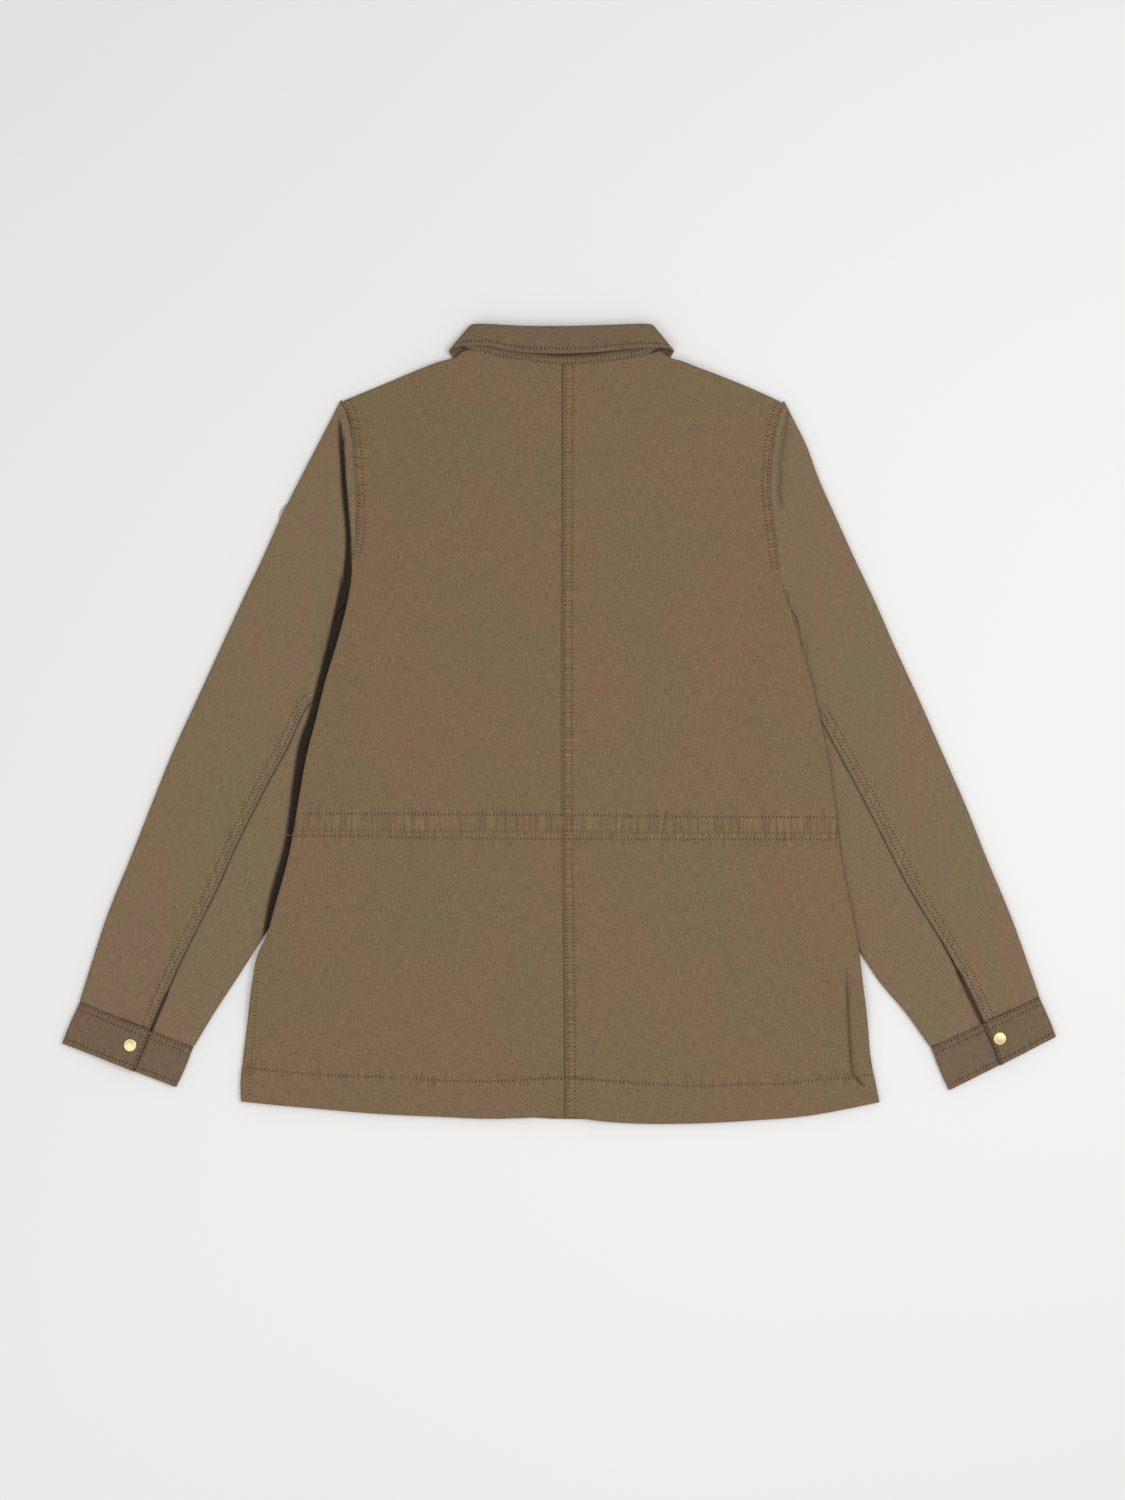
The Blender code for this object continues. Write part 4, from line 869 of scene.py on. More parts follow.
def sleeve_grid(side, at_outer):
    """Fine grid of one of the sleeve's two pieces, from the back seam's edge round to the front seam's."""
    rows = sleeve_rows(side)
    end_share = 0.0 if at_outer else 1.0
    ends = np.array([line(end_share) for line, *_ in rows])
    squares = fold_directions(ends, side, at_outer)
    coarse = []
    for number, (end_point, square, row_parts) in enumerate(zip(ends, squares, rows)):
        line, upper, lower, seam, opening = row_parts
        length = travelled(np.array([line(step / 40.0) for step in range(41)]))[-1]
        fold = (upper(end_share, end_point) - lower(end_share, end_point)) / 2.0
        reach = fold + CLOTH / 2.0
        bend_share = reach / length if at_outer else 1.0 - reach / length
        if at_outer:
            turned = min(number / HEAD_ROWS, 1.0)
            square = square * turned + (end_point - line(bend_share)) / reach * (1.0 - turned)
            square /= np.linalg.norm(square)
            stops = ring_stops(
                length, fold, seam * length - opening / 2.0, FRONT_SEAM_SHARE * length - SEAM_GAP / 2.0, True
            )
        else:
            stops = ring_stops(
                length, fold, seam * length + opening / 2.0, FRONT_SEAM_SHARE * length + SEAM_GAP / 2.0, False
            )
        sidestep = end_point - square * reach - line(bend_share)
        row = []
        for distance, height, out in stops:
            share = min(max(distance / length, 0.0), 1.0)
            point = line(share)
            high, low = float(upper(share, point)), float(lower(share, point))
            z = (high + low) / 2.0 + (high - low) / 2.0 * height
            from_bend = abs(share - bend_share) * length
            point = point + sidestep * float(1.0 - smooth(0.0, SIDESTEP_REACH, from_bend)) + square * out
            row.append((point[0], point[1], z))
        coarse.append(row)
    coarse = np.array(coarse)
    step = coarse[-2] - coarse[-1]
    coarse[-1] += step / np.linalg.norm(step, axis=1, keepdims=True) * SEAM_GAP
    knots = np.concatenate(
        ([0.0], np.cumsum(np.linalg.norm(np.diff(coarse[:, :34], axis=0), axis=2).mean(axis=1)))
    )
    places = spread(knots, 3.3, [(0.0, knots[3], 1.1), (knots[3], knots[3] + 8.0, 2.0)])
    grid = level_curve(knots, coarse, places)
    heights = np.array([height for _, height, _ in stops])
    return grid, heights


def cuff_section(length, end_share):
    """The cuff's path from its lapped end round both folds to the end beneath: distance, height."""
    lap_end = end_share * length
    fold = (CUFF_UPPER_LEVEL - CUFF_LOWER_LEVEL) / 2.0
    middle = (CUFF_UPPER_LEVEL + CUFF_LOWER_LEVEL) / 2.0
    reach = fold + STIFF_CLOTH / 2.0
    far = length - reach
    under_end = lap_end - CUFF_LAP
    turn = [math.radians(30.0 * step) for step in range(7)]
    path = [(lap_end, CUFF_LAP_LEVEL), (lap_end - 11.0, CUFF_LAP_LEVEL), (lap_end - 22.0, CUFF_LAP_LEVEL)]
    path += [(lap_end - 34.0, CUFF_UPPER_LEVEL + 0.8), (reach + 8.0, CUFF_UPPER_LEVEL)]
    path += [(reach - fold * math.sin(angle), middle + fold * math.cos(angle)) for angle in turn]
    path += [(reach + (far - reach) * step / 4.0, CUFF_LOWER_LEVEL) for step in range(1, 4)]
    path += [(far + fold * math.sin(angle), middle - fold * math.cos(angle)) for angle in turn]
    path += [(far + (under_end - far) * step / 3.0, CUFF_UPPER_LEVEL) for step in range(1, 4)]
    return path


def cuff_grid(side):
    """Fine grid of a cuff, from top edge to bottom edge, and each stop's way from the lapped end."""
    cuff = CUFF[side]
    grid = []
    for share in np.linspace(0.0, 1.0, 40):
        outer = np.array(cuff["outer_top"]) * (1.0 - share) + np.array(cuff["outer_bottom"]) * share
        inner = np.array(cuff["inner_top"]) * (1.0 - share) + np.array(cuff["inner_bottom"]) * share
        length = float(np.hypot(*(inner - outer)))
        section = np.array(cuff_section(length, cuff["end_share"]))
        knots = travelled(section)
        stops = np.concatenate((np.linspace(0.0, 0.06, 12)[:-1], np.linspace(0.06, 1.0, 118))) * knots[-1]
        distance, height = level_curve(knots, section, stops).T
        points = outer + (inner - outer) * distance[:, None] / length
        grid.append(np.concatenate((points, height[:, None]), axis=1))
    return np.array(grid), stops


def collar_grid():
    """Fine grid of the collar: stand, fold and leaf at each station round the neck."""
    fold = (LEAF_OFFSET - STAND_OFFSET) / 2.0
    middle = (LEAF_OFFSET + STAND_OFFSET) / 2.0
    coarse = []
    for turn, neck_x, neck_y, fold_x, fold_y, leaf_x, leaf_y, outward in COLLAR:
        neck, crown = np.array([neck_x, neck_y]), np.array([fold_x, fold_y])
        leaf = np.array([leaf_x, leaf_y])
        up = (crown - neck) / np.linalg.norm(crown - neck)
        crown = crown - up * (fold + STIFF_CLOTH / 2.0)
        angle = math.radians(turn)
        stops = [(neck + (crown - neck) * share, STAND_OFFSET) for share in np.linspace(0.0, 1.0, 14)]
        for bend in range(18, 180, 18):
            bend = math.radians(bend)
            stops.append((crown + up * fold * math.sin(bend), middle - fold * math.cos(bend)))
        stops += [(crown + (leaf - crown) * share, LEAF_OFFSET) for share in np.linspace(0.0, 1.0, 22)]
        coarse.append([
            (point[0] + outward * offset * math.cos(angle), point[1],
                COLLAR_MIDDLE + offset * math.sin(angle))
            for point, offset in stops
        ])
    coarse = np.array(coarse)
    knots = np.concatenate(([0.0], np.cumsum(np.linalg.norm(np.diff(coarse, axis=0), axis=2).mean(axis=1))))
    return level_curve(knots, coarse, spread(knots, 2.6))


# ---- meshes ---------------------------------------------------------------------------------


def grid_normals(grid):
    """Unit normals of a grid of points, from its rows to its columns."""
    normals = np.cross(np.gradient(grid, axis=0), np.gradient(grid, axis=1))
    return normals / np.maximum(np.linalg.norm(normals, axis=2, keepdims=True), 1e-9)


def new_piece(name, points, faces, material):
    """A smooth-shaded mesh object at the origin, from points in pattern millimetres."""
    mesh = bpy.data.meshes.new(name)
    mesh.from_pydata((np.asarray(points) * MM + TO_FRAME).tolist(), [], faces)
    mesh.materials.append(material)
    mesh.shade_smooth()
    mesh.set_sharp_from_angle(angle=math.radians(50.0))
    piece = bpy.data.objects.new(name, mesh)
    bpy.context.collection.objects.link(piece)
    return piece


def paint(mesh, name, kind, values):
    """Store one value for each point of a mesh."""
    layer = mesh.attributes.new(name, kind, "POINT")
    layer.data.foreach_set("vector" if kind == "FLOAT_VECTOR" else "value", np.asarray(values, float).ravel())


def add_shell(name, grid, thickness, cloth_map, shade, pucker, material):
    """Close a grid of middle points into a thin shell, with rounded rims, a weave map, its painted shade and
    its pucker strengths.
    """
    rows, columns = grid.shape[:2]
    half = np.broadcast_to(np.asarray(thickness, float), (rows, columns)) / 2.0
    half = half.copy()
    for rim in (half[0], half[-1], half[:, 0], half[:, -1]):
        rim *= 0.55
    normals = grid_normals(grid)
    outer, inner = grid + normals * half[..., None], grid - normals * half[..., None]
    count = rows * columns
    index = np.arange(count).reshape(rows, columns)
    corners = np.stack(
        (index[:-1, :-1], index[1:, :-1], index[1:, 1:], index[:-1, 1:]), axis=-1
    ).reshape(-1, 4)
    border = np.concatenate((index[:, 0], index[-1, 1:], index[-2::-1, -1], index[0, -2:0:-1]))
    following = np.roll(border, -1)
    rim = np.stack((following, border, count + border, count + following), axis=-1)
    faces = np.concatenate((corners, corners[:, ::-1] + count, rim))
    piece = new_piece(
        name, np.concatenate((outer.reshape(-1, 3), inner.reshape(-1, 3))), faces.tolist(), material
    )
    mesh = piece.data
    flat_map = np.tile(np.asarray(cloth_map, float).reshape(-1, 2) * MM, (2, 1))
    loops = np.empty(len(mesh.loops), int)
    mesh.loops.foreach_get("vertex_index", loops)
    weave = mesh.uv_layers.new(name="weave")
    weave.data.foreach_set("uv", flat_map[loops].ravel())
    paint(mesh, "shade", "FLOAT", np.tile(np.clip(shade, 0.0, 1.0).ravel(), 2))
    paint(
        mesh, "pucker", "FLOAT_VECTOR",
        np.tile(np.stack((pucker[0], pucker[1], np.zeros_like(pucker[0])), axis=-1).reshape(-1, 3), (2, 1))
    )
    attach(piece, "root")
    return piece


def add_turned(name, centre, base, profile, segments, material):
    """A round piece from its profile of radius and height, closed at top and bottom."""
    angles = 2.0 * np.pi * np.arange(segments) / segments
    points = [
        (centre[0] + radius * math.cos(angle), centre[1] + radius * math.sin(angle), base + height)
        for radius, height in profile for angle in angles
    ]
    faces = [tuple(reversed(range(segments)))]
    for ring in range(len(profile) - 1):
        low, high = ring * segments, (ring + 1) * segments
        for segment in range(segments):
            following = (segment + 1) % segments
            faces.append((low + segment, low + following, high + following, high + segment))
    top = (len(profile) - 1) * segments
    faces.append(tuple(range(top, top + segments)))
    piece = new_piece(name, points, faces, material)
    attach(piece, "root")
    return piece


# ---- finishes -------------------------------------------------------------------------------


class Finish:
    """A material under construction: nodes are added by kind, and joined by socket."""

    def __init__(self, name, colour):
        self.material = bpy.data.materials.new(name)
        self.material.use_nodes = True
        self.material.diffuse_color = (*colour, 1.0)
        self.tree = self.material.node_tree
        self.shader = self.tree.nodes["Principled BSDF"]

    def add(self, kind, inputs=(), **settings):
        node = self.tree.nodes.new(kind)
        for key, value in settings.items():
            setattr(node, key, value)
        for key, value in dict(inputs).items():
            self.put(node.inputs[key], value)
        return node

    def put(self, socket, value):
        if isinstance(value, bpy.types.NodeSocket):
            self.tree.links.new(value, socket)
        else:
            socket.default_value = value

    def math(self, operation, first, second=0.0, clamp=False):
        return self.add(
            "ShaderNodeMath", {0: first, 1: second}, operation=operation, use_clamp=clamp
        ).outputs[0]

    def blend(self, factor, first, second, kind="MIX"):
        node = self.add("ShaderNodeMix", data_type="RGBA", blend_type=kind)
        self.put(node.inputs["Factor"], factor)
        for socket, value in ((node.inputs[6], first), (node.inputs[7], second)):
            self.put(socket, value if isinstance(value, bpy.types.NodeSocket) else (*value, 1.0))
        return node.outputs[2]

    def noise(self, vector, scale, detail=2.0, roughness=0.5, distortion=0.0):
        return self.add("ShaderNodeTexNoise", {
            "Vector": vector, "Scale": scale, "Detail": detail, "Roughness": roughness,
            "Distortion": distortion,
        }).outputs["Fac"]

    def spaced(self, vector, scale, turn=0.0, shift=(0.0, 0.0, 0.0)):
        """The pattern's place stretched by a scale and turned."""
        return self.add("ShaderNodeMapping", {
            "Vector": vector, "Location": shift, "Rotation": (0.0, 0.0, turn), "Scale": scale,
        }).outputs["Vector"]

    def span(self, value, low, high, to_low, to_high):
        return self.add("ShaderNodeMapRange", {
            "Value": value, "From Min": low, "From Max": high, "To Min": to_low, "To Max": to_high,
        }).outputs["Result"]


def tinted(colour, red, green, blue):
    return tuple(min(1.0, value * factor) for value, factor in zip(colour, (red, green, blue)))


def cotton_twill(name, colour, shift):
    """Brushed cotton twill: fine diagonal ribs, warp streaks, faint olive and reddish clouds, and
    a dusty bloom, with painted shade in its seams, stitch rows, creases and gaps, and painted shade and light
    of the puckers beside its stitching."""
    finish = Finish(name, colour)
    place = finish.add("ShaderNodeUVMap", uv_map="weave").outputs["UV"]
    clouds = finish.noise(finish.spaced(place, (1.0, 0.8, 1.0), shift=shift), 9.0, 3.0, 0.55)
    drift = finish.noise(
        finish.spaced(place, (1.0, 1.0, 1.0), shift=(shift[1], shift[0], 0.0)), 31.0, 2.0, 0.5
    )
    streaks = finish.noise(finish.spaced(place, (1150.0, 105.0, 1.0), shift=shift), 1.0, 2.0, 0.6)
    slubs = finish.noise(finish.spaced(place, (95.0, 900.0, 1.0), shift=shift), 1.0, 1.0, 0.5)
    grain = finish.noise(place, 620.0, 2.0, 0.7)
    ribs = finish.add("ShaderNodeTexWave", {
        "Vector": finish.spaced(place, (1.0, 1.0, 1.0), turn=math.radians(-58.0)),
        "Scale": 300.0, "Distortion": 1.3, "Detail": 1.0, "Detail Scale": 2.0,
    }, wave_type="BANDS", bands_direction="X").outputs["Fac"]
    shade = finish.add("ShaderNodeAttribute", attribute_name="shade").outputs["Fac"]
    pucker = finish.add("ShaderNodeAttribute", attribute_name="pucker").outputs["Vector"]
    strengths = finish.add("ShaderNodeSeparateXYZ", {"Vector": pucker})
    ripple_x = finish.noise(finish.spaced(place, (290.0, 34.0, 1.0)), 1.0, 1.5, 0.5)
    ripple_y = finish.noise(finish.spaced(place, (34.0, 290.0, 1.0)), 1.0, 1.5, 0.5)
    ripples = finish.math("ADD",
        finish.math("MULTIPLY", finish.math("SUBTRACT", ripple_x, 0.5), strengths.outputs["X"]),
        finish.math("MULTIPLY", finish.math("SUBTRACT", ripple_y, 0.5), strengths.outputs["Y"]))

    olive, reddish = tinted(colour, 0.94, 1.035, 0.95), tinted(colour, 1.075, 0.955, 1.03)
    tone = finish.blend(finish.span(clouds, 0.38, 0.62, 0.0, 1.0), olive, reddish)
    tone = finish.blend(finish.span(drift, 0.3, 0.7, 0.0, 0.5), tone, colour)
    grain_and_painted_shade = finish.span(
        finish.math("ADD", streaks, finish.math("MULTIPLY", slubs, 0.45)), 0.42, 1.02, 0.73, 1.27
    )
    grain_and_painted_shade = finish.math("MULTIPLY", grain_and_painted_shade, finish.span(grain, 0.3, 0.7, 0.80, 1.20))
    grain_and_painted_shade = finish.math("MULTIPLY", grain_and_painted_shade, finish.span(ribs, 0.0, 1.0, 0.93, 1.05))
    # Painted shade and light of the puckers: the same ripples that bump the cloth also darken and lighten its
    # colour.
    grain_and_painted_shade = finish.math("MULTIPLY", grain_and_painted_shade, finish.math("ADD", 1.0, finish.math("MULTIPLY", ripples, 1.2)))
    # Painted shade from the shade attribute: seams, stitch rows, creases, gaps and openings are darkened.
    grain_and_painted_shade = finish.math("MULTIPLY", grain_and_painted_shade, finish.span(shade, 0.0, 1.0, 1.0, 0.1))
    gray = finish.add("ShaderNodeCombineColor", {"Red": grain_and_painted_shade, "Green": grain_and_painted_shade, "Blue": grain_and_painted_shade}).outputs["Color"]
    finish.put(finish.shader.inputs["Base Color"], finish.blend(1.0, tone, gray, "MULTIPLY"))
    finish.put(finish.shader.inputs["Roughness"], finish.span(streaks, 0.3, 0.7, 0.82, 0.95))
    finish.shader.inputs["Specular IOR Level"].default_value = 0.22
    finish.shader.inputs["Sheen Weight"].default_value = 0.12
    finish.shader.inputs["Sheen Roughness"].default_value = 0.45
    finish.shader.inputs["Sheen Tint"].default_value = (*tinted(colour, 2.6, 2.7, 2.9), 1.0)

    relief = finish.math("ADD", finish.math("MULTIPLY", ribs, 0.5), finish.math("MULTIPLY", streaks, 0.5))
    weave = finish.add("ShaderNodeBump", {"Strength": 0.45, "Distance": 0.00014, "Height": relief})
    rumple = finish.add("ShaderNodeBump", {
        "Strength": 0.9, "Distance": 0.0017, "Height": ripples, "Normal": weave.outputs["Normal"]})
    finish.put(finish.shader.inputs["Normal"], rumple.outputs["Normal"])
    return finish.material


def spun_thread(name, colour):
    """Sewing thread with its twist, in a tint of the cloth's colour; in a dark tint the same finish makes the
    painted shade of the needle holes.
    """
    finish = Finish(name, colour)
    place = finish.add("ShaderNodeTexCoord").outputs["Object"]
    twist = finish.noise(finish.spaced(place, (1600.0, 1600.0, 1600.0)), 1.0, 1.0)
    fade = finish.noise(place, 60.0, 2.0)
    tone = finish.blend(
        finish.span(fade, 0.35, 0.65, 0.0, 1.0), tinted(colour, 0.88, 0.88, 0.88),
        tinted(colour, 1.1, 1.1, 1.1)
    )
    finish.put(finish.shader.inputs["Base Color"], tone)
    finish.put(finish.shader.inputs["Roughness"], finish.span(twist, 0.3, 0.7, 0.55, 0.8))
    finish.shader.inputs["Specular IOR Level"].default_value = 0.3
    bump = finish.add("ShaderNodeBump", {"Strength": 0.4, "Distance": 0.0001, "Height": twist})
    finish.put(finish.shader.inputs["Normal"], bump.outputs["Normal"])
    return finish.material


def satin_brass(name, colour):
    """Satin brass: fine turning marks and small duller patches."""
    finish = Finish(name, colour)
    place = finish.add("ShaderNodeTexCoord").outputs["Object"]
    dull = finish.noise(place, 420.0, 3.0)
    marks = finish.noise(finish.spaced(place, (2200.0, 2200.0, 300.0)), 1.0, 2.0)
    tone = finish.blend(finish.span(dull, 0.35, 0.7, 0.0, 1.0), colour, tinted(colour, 0.82, 0.78, 0.66))
    finish.put(finish.shader.inputs["Base Color"], tone)
    finish.shader.inputs["Metallic"].default_value = 1.0
    finish.put(finish.shader.inputs["Roughness"], finish.span(dull, 0.3, 0.7, 0.30, 0.46))
    bump = finish.add("ShaderNodeBump", {"Strength": 0.12, "Distance": 0.0001, "Height": marks})
    finish.put(finish.shader.inputs["Normal"], bump.outputs["Normal"])
    return finish.material


def brushed_felt(name, colour):
    """Short matted felt."""
    finish = Finish(name, colour)
    place = finish.add("ShaderNodeTexCoord").outputs["Object"]
    fibres = finish.noise(place, 1500.0, 4.0, 0.7)
    clumps = finish.noise(place, 260.0, 2.0)
    tone = finish.blend(
        finish.span(fibres, 0.3, 0.7, 0.0, 1.0), tinted(colour, 0.82, 0.81, 0.78),
        tinted(colour, 1.08, 1.08, 1.06)
    )
    finish.put(finish.shader.inputs["Base Color"], tone)
    finish.put(finish.shader.inputs["Roughness"], finish.span(clumps, 0.3, 0.7, 0.85, 0.97))
    finish.shader.inputs["Sheen Weight"].default_value = 0.2
    bump = finish.add("ShaderNodeBump", {"Strength": 0.6, "Distance": 0.0003, "Height": fibres})
    finish.put(finish.shader.inputs["Normal"], bump.outputs["Normal"])
    return finish.material


def studio_paper(name, colour):
    """The pale surface that the jacket lies on."""
    finish = Finish(name, colour)
    place = finish.add("ShaderNodeTexCoord").outputs["Object"]
    clouds = finish.noise(place, 1.4, 2.0)
    tooth = finish.noise(place, 900.0, 2.0)
    tone = finish.blend(finish.span(clouds, 0.3, 0.7, 0.0, 1.0), tinted(colour, 0.985, 0.988, 0.99), colour)
    finish.put(finish.shader.inputs["Base Color"], tone)
    finish.put(finish.shader.inputs["Roughness"], finish.span(tooth, 0.3, 0.7, 0.88, 0.96))
    finish.shader.inputs["Specular IOR Level"].default_value = 0.1
    return finish.material


def finish_named(name, maker, *details):
    return bpy.data.materials.get(name) or maker(name, *details)


def cloth_finish(slot):
    colours = bpy.context.scene.jacket_colours
    colour = tuple(getattr(colours, slot.split("_")[0]))
    shifts = {
        "body_cloth": (0.0, 0.0, 0.0), "sleeve_cloth": (3.1, 1.7, 0.0), "collar_cloth": (7.3, 2.2, 0.0),
        "cuff_cloth": (2.6, 4.1, 0.0)
    }
    return finish_named("twill_" + slot, cotton_twill, colour, shifts[slot])


# ---- stitching ------------------------------------------------------------------------------


def stitch_tree():
    """Geometry Nodes tree that lays a row of stitches along each edge path that it is given."""
    tree = bpy.data.node_groups.new("stitch_rows", "GeometryNodeTree")
    face = tree.interface
    face.new_socket("Geometry", in_out="INPUT", socket_type="NodeSocketGeometry")
    for label in ("Stitch pitch", "Stitch length", "Thread width", "Unevenness"):
        face.new_socket(label, in_out="INPUT", socket_type="NodeSocketFloat")
    face.new_socket("Thread", in_out="INPUT", socket_type="NodeSocketMaterial")
    face.new_socket("Geometry", in_out="OUTPUT", socket_type="NodeSocketGeometry")

    def add(kind, inputs=(), **settings):
        node = tree.nodes.new(kind)
        for key, value in settings.items():
            setattr(node, key, value)
        for key, value in dict(inputs).items():
            if isinstance(value, bpy.types.NodeSocket):
                tree.links.new(value, node.inputs[key])
            else:
                node.inputs[key].default_value = value
        return node

    given = add("NodeGroupInput").outputs
    curve = add("GeometryNodeMeshToCurve", {"Mesh": given["Geometry"]})
    resampled = add(
        "GeometryNodeResampleCurve", {"Curve": curve.outputs["Curve"], "Length": given["Stitch pitch"]},
        mode="LENGTH"
    )
    tangent = add("GeometryNodeInputTangent")
    turned = add("FunctionNodeAlignRotationToVector", {"Vector": tangent.outputs["Tangent"]}, axis="X")
    half_length = add("ShaderNodeMath", {0: given["Stitch length"], 1: 0.5}, operation="MULTIPLY")
    half_width = add("ShaderNodeMath", {0: given["Thread width"], 1: 0.5}, operation="MULTIPLY")
    size = add(
        "ShaderNodeCombineXYZ",
        {"X": half_length.outputs[0], "Y": half_width.outputs[0], "Z": half_width.outputs[0]}
    )
    low = add("ShaderNodeMath", {0: 1.0, 1: given["Unevenness"]}, operation="SUBTRACT")
    high = add("ShaderNodeMath", {0: 1.0, 1: given["Unevenness"]}, operation="ADD")
    uneven = add(
        "FunctionNodeRandomValue", {"Min": low.outputs[0], "Max": high.outputs[0], "Seed": 7},
        data_type="FLOAT"
    )
    for socket in uneven.inputs:
        if socket.name in ("Min", "Max") and socket.type == "VALUE":
            tree.links.new((low if socket.name == "Min" else high).outputs[0], socket)
    scaled = add("ShaderNodeVectorMath", {0: size.outputs[0]}, operation="SCALE")
    tree.links.new(next(s for s in uneven.outputs if s.type == "VALUE" and s.enabled), scaled.inputs["Scale"])
    bead = add("GeometryNodeMeshIcoSphere", {"Radius": 1.0, "Subdivisions": 1})
    stitches = add("GeometryNodeInstanceOnPoints", {
        "Points": resampled.outputs["Curve"], "Instance": bead.outputs["Mesh"],
        "Rotation": turned.outputs["Rotation"], "Scale": scaled.outputs["Vector"],
    })
    real = add("GeometryNodeRealizeInstances", {"Geometry": stitches.outputs["Instances"]})
    shaded = add("GeometryNodeSetShadeSmooth", {"Geometry": real.outputs["Geometry"]})
    finished = add(
        "GeometryNodeSetMaterial", {"Geometry": shaded.outputs["Geometry"], "Material": given["Thread"]}
    )
    add("NodeGroupOutput", {"Geometry": finished.outputs["Geometry"]})
    return tree


def cloth_surface():
    """Search tree of all cloth pieces that are made, for laying things on them."""
    points, faces = [], []
    for piece in bpy.data.objects:
        if piece.get("jacket_cloth"):
            base = len(points)
            points += [vertex.co for vertex in piece.data.vertices]
            faces += [[base + corner for corner in polygon.vertices] for polygon in piece.data.polygons]
    return BVHTree.FromPolygons(points, faces)


def laid_on(surface, path, upwards):
    """Runs of close points where a pattern path meets the outermost cloth, in metres."""
    runs, run = [], []
    ray_start, ray = (0.05, Vector((0.0, 0.0, -1.0))) if upwards else (-0.05, Vector((0.0, 0.0, 1.0)))
    for x, y in fair(path, 1.2):
        start = Vector((x * MM + TO_FRAME[0], y * MM + TO_FRAME[1], ray_start))
        hit, normal, _, _ = surface.ray_cast(start, ray)
        if hit is None or (run and abs(hit.z - run[-1].z) > 0.0016):
            if len(run) > 3:
                runs.append(run)
            run = []
        if hit is not None:
            run.append(hit + (normal if normal.dot(ray) < 0.0 else -normal) * 0.00008)
    if len(run) > 3:
        runs.append(run)
    return runs


def offset_path(path, distance):
    """A path moved sideways by a distance, to its left where that is above 0."""
    path = fair(path)
    run = np.gradient(path, axis=0)
    run /= np.linalg.norm(run, axis=1, keepdims=True)
    return path + np.stack((-run[:, 1], run[:, 0]), axis=1) * distance


def trimmed(run, distance):
    """The same run of points, cut shorter by a distance at either end."""
    for _ in range(2):
        left = distance
        while len(run) > 2 and (run[1] - run[0]).length < left:
            left -= (run[1] - run[0]).length
            run = run[1:]
        run = [run[0].lerp(run[1], min(1.0, left / (run[1] - run[0]).length))] + run[1:]
        run = run[::-1]
    return run


def add_beads(name, runs, length, width, material):
    """Small rounded beads along runs of points, as one plain mesh."""
    points, edges = [], []
    for run in runs:
        base = len(points)
        points += run
        edges += [(base + place, base + place + 1) for place in range(len(run) - 1)]
    guide_mesh = bpy.data.meshes.new(name + "_guide")
    guide_mesh.from_pydata([tuple(point) for point in points], edges, [])
    guide = bpy.data.objects.new(name + "_guide", guide_mesh)
    bpy.context.collection.objects.link(guide)
    tree = bpy.data.node_groups.get("stitch_rows") or stitch_tree()
    values = {
        "Stitch pitch": bpy.context.scene.jacket_sizes.stitch_pitch, "Stitch length": length,
        "Thread width": width, "Unevenness": 0.12, "Thread": material,
    }
    modifier = guide.modifiers.new("stitches", "NODES")
    modifier.node_group = tree
    for item in tree.interface.items_tree:
        if item.item_type == "SOCKET" and item.in_out == "INPUT" and item.name in values:
            modifier[item.identifier] = values[item.name]
    evaluated = guide.evaluated_get(bpy.context.evaluated_depsgraph_get())
    mesh = bpy.data.meshes.new_from_object(evaluated)
    guide.modifiers.remove(modifier)
    bpy.data.objects.remove(guide, do_unlink=True)
    bpy.data.meshes.remove(guide_mesh)
    if not mesh.polygons:
        raise RuntimeError(name + ": no stitches were made")
    mesh.name = name
    piece = bpy.data.objects.new(name, mesh)
    bpy.context.collection.objects.link(piece)
    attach(piece, "root")


def add_stitching(name, slot, surface, paths, upwards=True):
    """Rows of stitches laid on the cloth along pattern paths, with dark beads between them as painted shade
    in the needle holes.
    """
    sizes = bpy.context.scene.jacket_sizes
    colour = tuple(getattr(bpy.context.scene.jacket_colours, slot.split("_")[0]))
    runs = [run for path in paths for run in laid_on(surface, path, upwards)]
    thread = finish_named("thread_" + slot, spun_thread, tinted(colour, *THREAD_TINT_AND_HIGHLIGHT))
    # Dark beads at the needle holes: painted shade inside the holes.
    hole_shade_finish = finish_named("needle_hole_" + slot, spun_thread, tinted(colour, *HOLE_SHADE_TINT))
    add_beads(name, runs, sizes.stitch_length, sizes.thread_width, thread)
    holes = [trimmed(run, sizes.stitch_pitch / 2.0) for run in runs if len(run) > 8]
    add_beads(
        name + "_holes", holes, sizes.thread_width * HOLE_LENGTH, sizes.thread_width * HOLE_WIDTH,
        hole_shade_finish
    )


# ---- what the jacket is made of -------------------------------------------------------------


def finish_cloth(piece, node):
    """Declare a cloth piece and let it stand for its CAD node."""
    piece["jacket_cloth"] = True
    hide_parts(node)


def turned_over(side, *parts):
    """A body panel's grids, run so that its faces look outwards."""
    return tuple((part[:, ::-1] if side == "left" else part)[::-1] for part in parts)


def panel_thickness(places):
    """Thickness of a body panel's shell, with the turned hem's extra ply."""
    return cloth_thickness(places) - CLOTH + bpy.context.scene.jacket_sizes.cloth_thickness / MM


